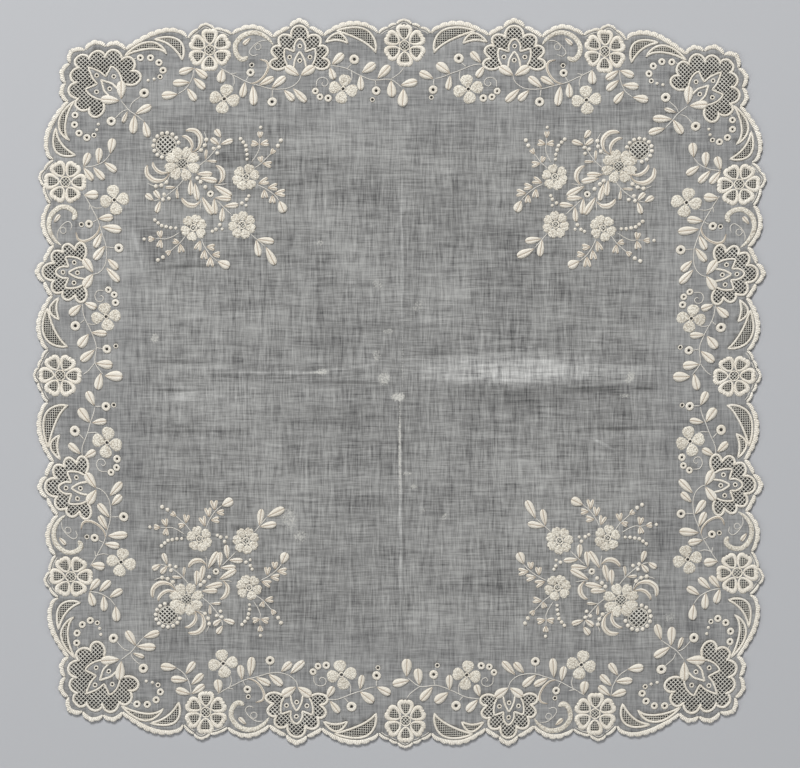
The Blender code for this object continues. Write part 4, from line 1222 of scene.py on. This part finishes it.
class Embroidery:
    """All the needlework of the cloth, set out from its repeating units."""

    def __init__(self, chart: Chart) -> None:
        """Starts with nothing worked.

        Args:
            chart: The way from the chart to the cloth.
        """
        self.chart = chart
        self.works: dict[Work, bmesh.types.BMesh] = {}
        self.openings: list[np.ndarray] = []

    def moves(self, turn: Turn) -> list[Matrix]:
        """The turns and mirrors that set a unit out round the cloth.

        Args:
            turn: How the unit repeats.

        Returns:
            One matrix for each copy.
        """
        quarters = [Matrix.Rotation(math.radians(90.0 * side), 4, "Z") for side in range(4)]
        if turn in (Turn.SIDES, Turn.CORNERS_ONCE):
            return quarters
        if turn is Turn.CORNERS:
            diagonal = Matrix(((0, 1, 0, 0), (1, 0, 0, 0), (0, 0, 1, 0), (0, 0, 0, 1)))
            return quarters + [quarter @ diagonal for quarter in quarters]
        chosen = [(side, half) for side in range(4) for half in (1, -1)]
        if turn is Turn.LONG:
            chosen = list(LONG_HALVES)
        if turn is Turn.SHORT:
            chosen = [pair for pair in chosen if pair not in LONG_HALVES]
        return [quarters[side] @ Matrix.Scale(half, 4, (1.0, 0.0, 0.0)) for side, half in chosen]

    def set_out(self, unit: Unit, turn: Turn) -> None:
        """Copies a unit round the cloth.

        Args:
            unit: The unit.
            turn: How it repeats.
        """
        unit.close()
        moves = self.moves(turn)
        for move in moves:
            flat = np.array(move)[:2, :2]
            self.openings += [opening @ flat.T for opening in unit.openings]
        for work, stitches in unit.stitches.items():
            if work not in self.works:
                self.works[work] = bmesh.new()
                self.works[work].loops.layers.uv.new(STITCH_MAP)
            whole = self.works[work]
            pattern = bpy.data.meshes.new("pattern")
            stitches.to_mesh(pattern)
            stitches.free()
            for move in moves:
                turned = pattern.copy()
                turned.transform(move)
                if move.determinant() < 0.0:
                    turned.flip_normals()
                whole.from_mesh(turned)
                bpy.data.meshes.remove(turned)
            bpy.data.meshes.remove(pattern)

    def settled(self, places: np.ndarray, middle: np.ndarray) -> np.ndarray:
        """Lays points of the needlework on the cloth.

        Args:
            places: Chart x and y, and height over the cloth's face.
            middle: The cloth's middle, which becomes the origin.

        Returns:
            The points in metres.
        """
        flat = self.chart.pulled(places[:, :2]) - middle
        height = GROUND_TOP + self.chart.lift(flat) + places[:, 2]
        return np.column_stack((flat, height)) * MM

    def piece(self, work: Work, finish: Finish, middle: np.ndarray) -> bpy.types.Object:
        """Makes one kind of work into a piece.

        Args:
            work: The kind.
            finish: Its finish.
            middle: The cloth's middle.

        Returns:
            The piece's object.
        """
        mesh = bpy.data.meshes.new(work.value)
        self.works[work].to_mesh(mesh)
        self.works[work].free()
        places = np.empty(len(mesh.vertices) * 3)
        mesh.vertices.foreach_get("co", places)
        mesh.vertices.foreach_set("co", self.settled(places.reshape(-1, 3), middle).ravel())
        mesh.shade_smooth()
        mesh.materials.append(finish.material())
        made = bpy.data.objects.new(work.value, mesh)
        bpy.context.scene.collection.objects.link(made)
        return made


@dataclass(frozen=True)
class Border:
    """The border: edging, crescents, rosettes, fans, scrolls and sprays of half a side."""

    edge_step: float = 0.55
    edge_end_width: float = 0.95
    edge_top: float = 0.5
    edge_foot: float = -0.85
    narrow_edge: float = 1.3
    inner_cord: float = 0.5
    inner_cord_gap: float = 0.75
    crescent_rim: float = 1.2
    crescent_top: float = 0.6
    crescent_inset: float = 0.60
    crescent_step: float = 0.8
    net_pitch: float = 1.15
    net_thread: float = 0.32
    cord_top: float = 0.5
    petals: Flower = Flower(length=6.9, width=6.1, start=0.95, notch=0.04)

    def edging(self) -> tuple[Unit, np.ndarray]:
        """Works the buttonholed edge of half a side.

        Returns:
            The unit, and the edge's middle line, from the side's middle to the corner.
        """
        unit = Unit()
        line = []
        for bow in EDGE_BOWS:
            rise, peak, scallops, width = bow[4:]
            length = math.hypot(bow[2] - bow[0], bow[3] - bow[1])
            first = 0.5 if bow[0] < 0.0 else 0.0
            last = 0.5 if bow[3] > CORNER_BOW_DEPTH else 1.0
            count = max(4, round(length * (last - first) / self.edge_step))
            shares = np.linspace(first, last, count + 1)
            route = bow_curve(bow, rise, peak, shares)
            run = np.gradient(route, axis=0)
            run /= np.linalg.norm(run, axis=1, keepdims=True)
            outward = np.stack((run[:, 1], -run[:, 0]), axis=1)
            scallop_rise = SCALLOP_RISE * min(1.0, width / 2.0)
            lobes = scallop_rise * np.abs(np.sin(math.pi * scallops * shares)) ** 0.6
            end_width = self.edge_end_width
            breadth = end_width + (width - end_width) * np.sin(math.pi * shares) ** 0.7
            middle = route + outward * ((lobes - breadth) / 2.0)[:, None]
            path = self.from_edge(middle)
            unit.cord(Work.EDGING, path, breadth + lobes, self.edge_top, self.edge_foot, sides=10,
                      squareness=0.75, end=0.9)
            line.append(path if last < 1.0 else path[:-1])
            if width < self.narrow_edge:
                inner = self.from_edge(route - outward * (breadth + self.inner_cord_gap)[:, None])
                unit.cord(Work.CORD, inner, self.inner_cord, FINE_TOP, sides=CORD_SIDES)
        return unit, np.vstack(line)

    def from_edge(self, places: np.ndarray) -> np.ndarray:
        """Turns rows of a and d, the depth from the edge, into rows of chart x and y."""
        return np.stack((places[:, 0], HALF_SIDE - places[:, 1]), axis=1)

    def half(self) -> Unit:
        """Works what every half of a side carries. Returns the unit."""
        unit = Unit()
        for tips in CRESCENTS:
            unit.cell(Work.RIM, self.crescent(tips), self.crescent_rim, self.crescent_top, self.net_pitch,
                      0.0, self.net_thread)
        Rosette().work(unit, (SIDE_ROSETTE[0], HALF_SIDE - SIDE_ROSETTE[1]))
        Fan().work(unit)
        for work, cord in ((Work.SEED, SCROLL), (Work.LEAF, COMMA)):
            route = curve_through([(a, HALF_SIDE - d, width) for a, d, width in cord])
            unit.cord(work, route, route[:, 2], self.cord_top)
        a, d, radius = SCROLL_LOOP
        loop = ring_of((a, HALF_SIDE - d), radius, 14)
        unit.cord(Work.CORD, loop, self.inner_cord, STEM_TOP, sides=CORD_SIDES, closed=True)
        self.spray(unit, HALF_LEAVES, HALF_STEMS, HALF_EYELETS)
        for a, d, radius in HALF_DOTS:
            unit.dot((a, HALF_SIDE - d, radius))
        for a, d in FOUR_PETALS:
            centre = (a, HALF_SIDE - d)
            self.petals.work(unit, centre, petal_turns(4, 10.0))
            unit.eyelet((*centre, *FOUR_PETALS_EYELET))
        return unit

    def crescent(self, tips: tuple[float, ...]) -> np.ndarray:
        """The middle line of a crescent's rim.

        Args:
            tips: Its row of the table.

        Returns:
            A closed curve.
        """
        inset = self.crescent_inset
        start, end = np.array(tips[:2]), np.array(tips[2:4])
        length = float(np.hypot(*(end - start)))
        run = (end - start) / length
        drawn = (*(start + run * inset * 2.0), *(end - run * inset * 2.0))
        shares = np.linspace(0.0, 1.0, max(8, round(length / self.crescent_step)))
        outer = bow_curve(drawn, tips[4] - inset * 1.1, tips[5], shares)
        inner = bow_curve(drawn, tips[6] + inset * 0.9, tips[7], shares)
        return self.from_edge(np.vstack((outer, inner[-2:0:-1])))

    def spray(self, unit: Unit, leaves: object, stems: object, eyelets: object) -> None:
        """Works a spray given as depths from the edge.

        Args:
            unit: The unit that it belongs to.
            leaves: Rows of leaves.
            stems: Routes of stems.
            eyelets: Rows of eyelets.
        """
        for a0, d0, a1, d1, width in leaves:
            unit.pad(Work.LEAF, (a0, HALF_SIDE - d0, a1, HALF_SIDE - d1, width), 0.45 + 0.11 * width)
        for stem in stems:
            route = curve_through([(a, HALF_SIDE - d) for a, d in stem], STEM_STEP)
            unit.cord(Work.CORD, route, STEM_WIDTH, STEM_TOP, sides=CORD_SIDES)
        for a, d, radius, hole in eyelets:
            unit.eyelet((a, HALF_SIDE - d, radius, hole))

    def work(self, embroidery: Embroidery) -> np.ndarray:
        """Works the whole border.

        Args:
            embroidery: Where it is set out.

        Returns:
            The middle line of the edging of half a side.
        """
        edge, line = self.edging()
        embroidery.set_out(edge, Turn.HALVES)
        embroidery.set_out(self.half(), Turn.HALVES)
        for turn, leaves, stems, eyelets in ((Turn.LONG, LONG_LEAVES, LONG_STEMS, LONG_EYELETS),
                                             (Turn.SHORT, SHORT_LEAVES, SHORT_STEMS, SHORT_EYELETS)):
            spray = Unit()
            self.spray(spray, leaves, stems, eyelets)
            embroidery.set_out(spray, turn)
        middle = Unit()
        Rosette().work(middle, (MIDDLE_ROSETTE[0], HALF_SIDE - MIDDLE_ROSETTE[1]))
        embroidery.set_out(middle, Turn.SIDES)
        return line


@dataclass(frozen=True)
class CornerFan(FanStitches):
    """The large fan in each corner, with its tulip, sepals and twig."""

    inner_top: float = 0.55
    sepal_top: float = 0.9
    twig_leaf_top: float = 0.85
    twig_width: float = 0.6

    def work(self, embroidery: Embroidery) -> None:
        """Works the four corners.

        Args:
            embroidery: Where they are set out.
        """
        paired, once = Unit(), Unit()
        net = np.vstack((self.peaked(CORNER_NET_OUTSIDE), self.peaked(CORNER_NET_INSIDE)[::-1]))
        once.net(net, self.net_pitch, self.net_turn, self.net_thread)
        for lobe in CORNER_LOBES:
            paired.cord(Work.RIM, curve_through(lobe, RIM_STEP), self.rim, self.top, WELL_FOOT)
        once.cord(Work.RIM, self.peaked(CORNER_TOP_LOBE), self.rim, self.top, WELL_FOOT)
        tulip = curve_through(CORNER_TULIP, RIM_STEP)
        paired.cord(Work.RIM, tulip, self.inner_rim, self.inner_top, WELL_FOOT)
        once.cord(Work.RIM, self.peaked(CORNER_TULIP_TOP), self.inner_rim, self.inner_top, WELL_FOOT)
        once.cord(Work.RIM, self.peaked(CORNER_MIDDLE_PETAL), self.inner_rim, self.inner_top)
        paired.pad(Work.LEAF, CORNER_SEPAL, self.sepal_top)
        for leaf in CORNER_TWIG_LEAVES:
            once.pad(Work.LEAF, leaf, self.twig_leaf_top)
        for unit, eyelets in ((paired, CORNER_EYELETS_PAIRED), (once, CORNER_EYELETS)):
            for eyelet in eyelets:
                unit.eyelet(eyelet)
        for unit, stems, width in ((paired, CORNER_STEMS_PAIRED, STEM_WIDTH),
                                   (once, CORNER_TWIG_STEMS, self.twig_width)):
            for stem in stems:
                unit.cord(Work.CORD, curve_through(stem, STEM_STEP), width, STEM_TOP, sides=CORD_SIDES)
        embroidery.set_out(paired, Turn.CORNERS)
        embroidery.set_out(once, Turn.CORNERS_ONCE)

    def peaked(self, half: tuple[Spot, ...]) -> np.ndarray:
        """A line that ends on the diagonal, with its mirrored half.

        Args:
            half: Points up to the diagonal.

        Returns:
            The whole line.
        """
        first = curve_through(half, RIM_STEP)
        return np.vstack((first, first[-2::-1][:, ::-1]))


@dataclass(frozen=True)
class FieldSpray:
    """The spray in each corner of the field."""

    daisy: Flower = Flower(length=6.9, width=4.9, start=2.6)
    daisy_middle: NettedRing = NettedRing(radius=2.75, points=16, rim=0.5, top=0.35, pitch=1.25,
                                          thread=0.48)
    ball: NettedRing = NettedRing(radius=NET_BALL_RADIUS, points=24, rim=0.45, top=0.25, pitch=1.7,
                                  thread=0.68)
    ball_dot: float = 1.08
    ball_dot_gap: float = 1.5
    side_flower: Flower = Flower(length=5.3, width=4.9, start=1.8)
    side_middle: NettedRing = NettedRing(radius=1.65, points=12, rim=0.7, top=0.45, pitch=1.1, thread=0.5)
    middle_flower: Flower = Flower(length=5.4, width=4.5, start=2.0)
    middle_net: NettedRing = NettedRing(radius=1.8, points=12, rim=0.75, top=0.45, pitch=1.1, thread=0.5)
    once_leaf_top: float = 0.8
    horn_top: float = 0.55
    bud_top: float = 0.45
    bud_lean: float = 15.0

    def work(self, embroidery: Embroidery) -> None:
        """Works the four sprays.

        Args:
            embroidery: Where they are set out.
        """
        paired, once = Unit(), Unit()
        self.flowers(paired, once)
        for leaf in FIELD_LEAVES:
            paired.pad(Work.LEAF, leaf, 0.3 + 0.13 * leaf[4])
        for leaf in FIELD_BUDS:
            self.bud(paired, leaf)
        for leaf in FIELD_LEAVES_ONCE:
            once.pad(Work.LEAF, leaf, self.once_leaf_top)
        for horn in FIELD_HORNS:
            route = curve_through(horn)
            paired.cord(Work.LEAF, route, route[:, 2], self.horn_top)
        for unit, stems in ((paired, FIELD_STEMS), (once, FIELD_STEMS_ONCE)):
            for stem in stems:
                unit.cord(Work.CORD, curve_through(stem, STEM_STEP), STEM_WIDTH, FINE_TOP, sides=CORD_SIDES)
        for unit, dots in ((paired, FIELD_DOTS), (once, FIELD_DOTS_ONCE)):
            for dot in dots:
                unit.dot(dot)
        once.eyelet(FIELD_EYELET_ONCE)
        embroidery.set_out(paired, Turn.CORNERS)
        embroidery.set_out(once, Turn.CORNERS_ONCE)

    def bud(self, unit: Unit, leaf: tuple[float, ...]) -> None:
        """Works a bud of two narrow petals from one stalk.

        Args:
            unit: The unit that it belongs to.
            leaf: Stalk end, round end and width.
        """
        stalk = np.array(leaf[:2])
        length = float(np.hypot(*(np.array(leaf[2:4]) - stalk)))
        turn = math.degrees(math.atan2(leaf[3] - leaf[1], leaf[2] - leaf[0]))
        for lean in (-self.bud_lean, self.bud_lean):
            petal = (*stalk, *ringed(stalk, length, turn + lean), leaf[4])
            unit.pad(Work.LEAF, petal, self.bud_top, groove=0.1)

    def flowers(self, paired: Unit, once: Unit) -> None:
        """Works the daisy, its netted ball and the field's flowers.

        Args:
            paired: The unit that is mirrored about the diagonal.
            once: The unit that isn't.
        """
        self.daisy.work(once, DAISY, [45.0 + turn for turn in DAISY_TURNS])
        self.daisy_middle.work(once, DAISY)
        self.ball.work(once, NET_BALL)
        for turn in petal_turns(NET_BALL_TURNS, 45.0)[:6]:
            for mirror in {turn, 90.0 - turn}:
                place = ringed(NET_BALL, NET_BALL_RADIUS + self.ball_dot_gap, mirror)
                once.dot((*place, self.ball_dot))
        self.side_flower.work(paired, SIDE_FLOWER, list(SIDE_FLOWER_TURNS))
        self.side_middle.work(paired, SIDE_FLOWER)
        self.middle_flower.work(once, MIDDLE_FLOWER, petal_turns(7, 45.0))
        self.middle_net.work(once, MIDDLE_FLOWER)


@dataclass
class Ground:
    """The sheer lawn, cut away under every net and eyelet."""

    chart: Chart
    thickness: float = 0.14
    step: float = 3.4
    margin: float = 3.0
    fold_step: float = 0.8
    fold_reach: float = 13.0
    fold_length: float = 150.0
    upright_share: float = 3.0
    upright_place: float = 1.2
    bin_size: float = 1.4

    def outline(self, half_line: np.ndarray) -> np.ndarray:
        """Closes the edge round the cloth.

        Args:
            half_line: Middle line of the edging of half a side.

        Returns:
            The whole edge on the chart.
        """
        line = []
        side = np.vstack((half_line[:0:-1] * (-1.0, 1.0), half_line[:-1]))
        for turns in range(4):
            angle = math.radians(-90.0 * turns)
            spin = np.array(((math.cos(angle), math.sin(angle)), (-math.sin(angle), math.cos(angle))))
            line.append(side @ spin)
        return np.vstack(line)

    def make(self, edge: np.ndarray, openings: list[np.ndarray], middle: np.ndarray) -> bpy.types.Object:
        """Makes the cloth.

        Args:
            edge: Its edge on the chart.
            openings: The openings on the chart.
            middle: The cloth's middle.

        Returns:
            The cloth's object.
        """
        rings = [edge] + openings
        places = [self.chart.pulled(ring) - middle for ring in rings]
        edges = []
        first = 0
        for ring in places:
            count = len(ring)
            edges += [(first + number, first + (number + 1) % count) for number in range(count)]
            first += count
        loose = self.grid(places)
        flat = np.vstack(places + [loose])
        points, _, triangles, _, _, _ = delaunay_2d_cdt([Vector(p) for p in flat], edges, [], 1, 0.01)
        level = np.array([tuple(point) for point in points])
        height = GROUND_TOP + self.chart.lift(level)
        cut = self.cut_away(level[np.array(triangles)].mean(axis=1), places[1:])
        cloth = bmesh.new()
        corners = [cloth.verts.new(place) for place in np.column_stack((level, height)) * MM]
        for triangle, gone in zip(triangles, cut):
            if not gone:
                cloth.faces.new([corners[number] for number in triangle])
        bmesh.ops.delete(cloth, geom=[v for v in cloth.verts if not v.link_faces], context="VERTS")
        bmesh.ops.recalc_face_normals(cloth, faces=cloth.faces)
        if sum(face.normal.z for face in cloth.faces) < 0.0:
            bmesh.ops.reverse_faces(cloth, faces=cloth.faces)
        mesh = bpy.data.meshes.new("lawn_ground")
        cloth.to_mesh(mesh)
        cloth.free()
        mesh.shade_smooth()
        mesh.materials.append(SheerLawn("sheer_lawn").material())
        made = bpy.data.objects.new("lawn_ground", mesh)
        bpy.context.scene.collection.objects.link(made)
        wall = made.modifiers.new("thickness", "SOLIDIFY")
        wall.thickness = self.thickness * MM
        wall.offset = -1.0
        return made

    def cut_away(self, spots: np.ndarray, openings: list[np.ndarray]) -> np.ndarray:
        """Finds which parts of the cloth lie in an opening.

        Args:
            spots: Middles of the cloth's small parts, x and y.
            openings: The openings on the cloth.

        Returns:
            True for each part that lies in one.
        """
        gone = np.zeros(len(spots), dtype=bool)
        for ring in openings:
            low, high = ring.min(axis=0), ring.max(axis=0)
            near = np.flatnonzero(((spots > low) & (spots < high)).all(axis=1))
            x, y = spots[near].T
            x0, y0 = ring.T[:, :, None]
            x1, y1 = np.roll(ring, -1, axis=0).T[:, :, None]
            level = np.where(y1 == y0, 1e-9, y1 - y0)
            crossed = ((y0 > y) != (y1 > y)) & (x < (x1 - x0) * (y - y0) / level + x0)
            gone[near] |= crossed.sum(axis=0) % 2 == 1
        return gone

    def grid(self, rings: list[np.ndarray]) -> np.ndarray:
        """Loose points that let the cloth bend, closer together along the press folds.

        Args:
            rings: The edge and the openings, on the cloth.

        Returns:
            The points, a little apart from every ring.
        """
        reach = HALF_SIDE - self.margin
        even = np.arange(-reach, reach, self.step)
        close = np.arange(-self.fold_reach, self.fold_reach, self.fold_step)
        long_way = np.arange(-self.fold_length, self.fold_length, self.fold_step * 2.0)
        upright = close / self.upright_share + self.upright_place
        grids = ((even, even), (upright, long_way), (long_way, close))
        points = np.vstack([np.stack(np.meshgrid(*grid), axis=-1).reshape(-1, 2) for grid in grids])
        taken = {(round(x / self.bin_size), round(y / self.bin_size)) for x, y in np.vstack(rings)}
        free = [(round(x / self.bin_size), round(y / self.bin_size)) not in taken for x, y in points]
        return points[np.array(free)]


@dataclass(frozen=True)
class Studio:
    """The floor, the lights and the camera over the cloth, in metres, and watts for the lights."""

    floor_reach: float = 2.5
    lens: float = 85.0
    sensor: float = 36.0
    view_width: float = 0.4182
    view_middle: Spot = (0.0002, -0.0003)
    world_strength: float = 0.06
    lamps: tuple[tuple[str, tuple[float, float, float], float, float], ...] = (
        ("window_light", (-0.55, 2.00, 1.60), 0.75, 66.0),
        ("left_light", (-1.75, -0.45, 1.00), 1.1, 12.0),
        ("right_light", (1.75, -0.35, 1.00), 1.1, 9.0),
        ("front_light", (0.20, -1.90, 1.05), 1.1, 9.0),
    )

    def floor(self) -> bpy.types.Object:
        """Makes the plain pale floor. Returns its object."""
        sheet = bmesh.new()
        bmesh.ops.create_grid(sheet, x_segments=1, y_segments=1, size=self.floor_reach)
        mesh = bpy.data.meshes.new("floor")
        sheet.to_mesh(mesh)
        sheet.free()
        mesh.materials.append(PlainFloor("pale_floor").material())
        made = bpy.data.objects.new("floor", mesh)
        bpy.context.scene.collection.objects.link(made)
        return made

    def light(self, name: str, place: tuple[float, float, float], size: float, power: float) -> None:
        """Hangs a soft light that faces the cloth.

        Args:
            name: Its name.
            place: Where it hangs, in metres.
            size: Its side, in metres.
            power: Its power, in watts.
        """
        lamp = bpy.data.lights.new(name, "AREA")
        lamp.size = size
        lamp.energy = power
        made = bpy.data.objects.new(name, lamp)
        made.location = place
        made.rotation_euler = (Vector((0.0, 0.0, 0.0)) - Vector(place)).to_track_quat("-Z", "Y").to_euler()
        bpy.context.scene.collection.objects.link(made)

    def camera(self) -> None:
        """Sets the camera straight above the cloth, as the photograph was taken."""
        lens = bpy.data.cameras.new("camera")
        lens.lens = self.lens
        lens.sensor_width = self.sensor
        lens.clip_start = 0.05
        made = bpy.data.objects.new("camera", lens)
        made.location = (*self.view_middle, self.view_width * lens.lens / lens.sensor_width)
        bpy.context.scene.collection.objects.link(made)
        bpy.context.scene.camera = made

    def make(self) -> None:
        """Makes the studio."""
        self.floor()
        for lamp in self.lamps:
            self.light(*lamp)
        self.camera()
        world = bpy.data.worlds.new("studio")
        world.use_nodes = True
        background = world.node_tree.nodes["Background"]
        background.inputs["Color"].default_value = (1.0, 1.0, 1.0, 1.0)
        background.inputs["Strength"].default_value = self.world_strength
        bpy.context.scene.world = world
        bpy.context.scene.view_settings.view_transform = "Standard"


FINISHES: dict[Work, Finish] = {
    Work.EDGING: StitchedCotton("buttonholed_cotton", stitch=0.92, depth=0.30, dip_shade=0.5),
    Work.RIM: StitchedCotton("satin_cotton", stitch=0.70, depth=0.18),
    Work.NET: StitchedCotton("net_thread", stitch=0.4, light=(0.86, 0.84, 0.77), dark=(0.60, 0.57, 0.50)),
    # Padded leaves, with painted shade down their middle groove
    Work.LEAF: StitchedCotton("padded_satin_cotton", stitch=0.60, slant=0.5, depth=0.14, vein_shade_width=0.42),
    # Seeded petals: strong painted shade in the gaps between the seeds
    Work.SEED: StitchedCotton("seeded_cotton", seeded=True, depth=0.45, dip_shade=1.4, bias=-0.80,
                              light=(0.97, 0.93, 0.82), dark=(0.50, 0.45, 0.37)),
    Work.CORD: StitchedCotton("cord_cotton", stitch=0.6, light=(0.84, 0.82, 0.77), dark=(0.60, 0.56, 0.49)),
    Work.EYELET: StitchedCotton("eyelet_cotton", stitch=0.55),
    Work.DOT: StitchedCotton("dot_cotton", stitch=0.5),
}


def main() -> None:
    """Builds the handkerchief and its studio."""
    logging.basicConfig(level=logging.INFO, format="%(message)s")
    chart = Chart()
    embroidery = Embroidery(chart)
    edge_line = Border().work(embroidery)
    CornerFan().work(embroidery)
    FieldSpray().work(embroidery)
    ground = Ground(chart)
    edge = ground.outline(edge_line)
    on_cloth = chart.pulled(edge)
    middle = (on_cloth.min(axis=0) + on_cloth.max(axis=0)) / 2.0
    cloth = ground.make(edge, embroidery.openings, middle)
    log.info("lawn_ground: %d faces", len(cloth.data.polygons))
    pieces = []
    for work in Work:
        piece = embroidery.piece(work, FINISHES[work], middle)
        log.info("%s: %d faces", work.value, len(piece.data.polygons))
        pieces.append(piece)
    for piece in [cloth, *pieces]:
        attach(piece, "root")
    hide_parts(NODE)
    Studio().make()


if __name__ == "__main__":
    main()
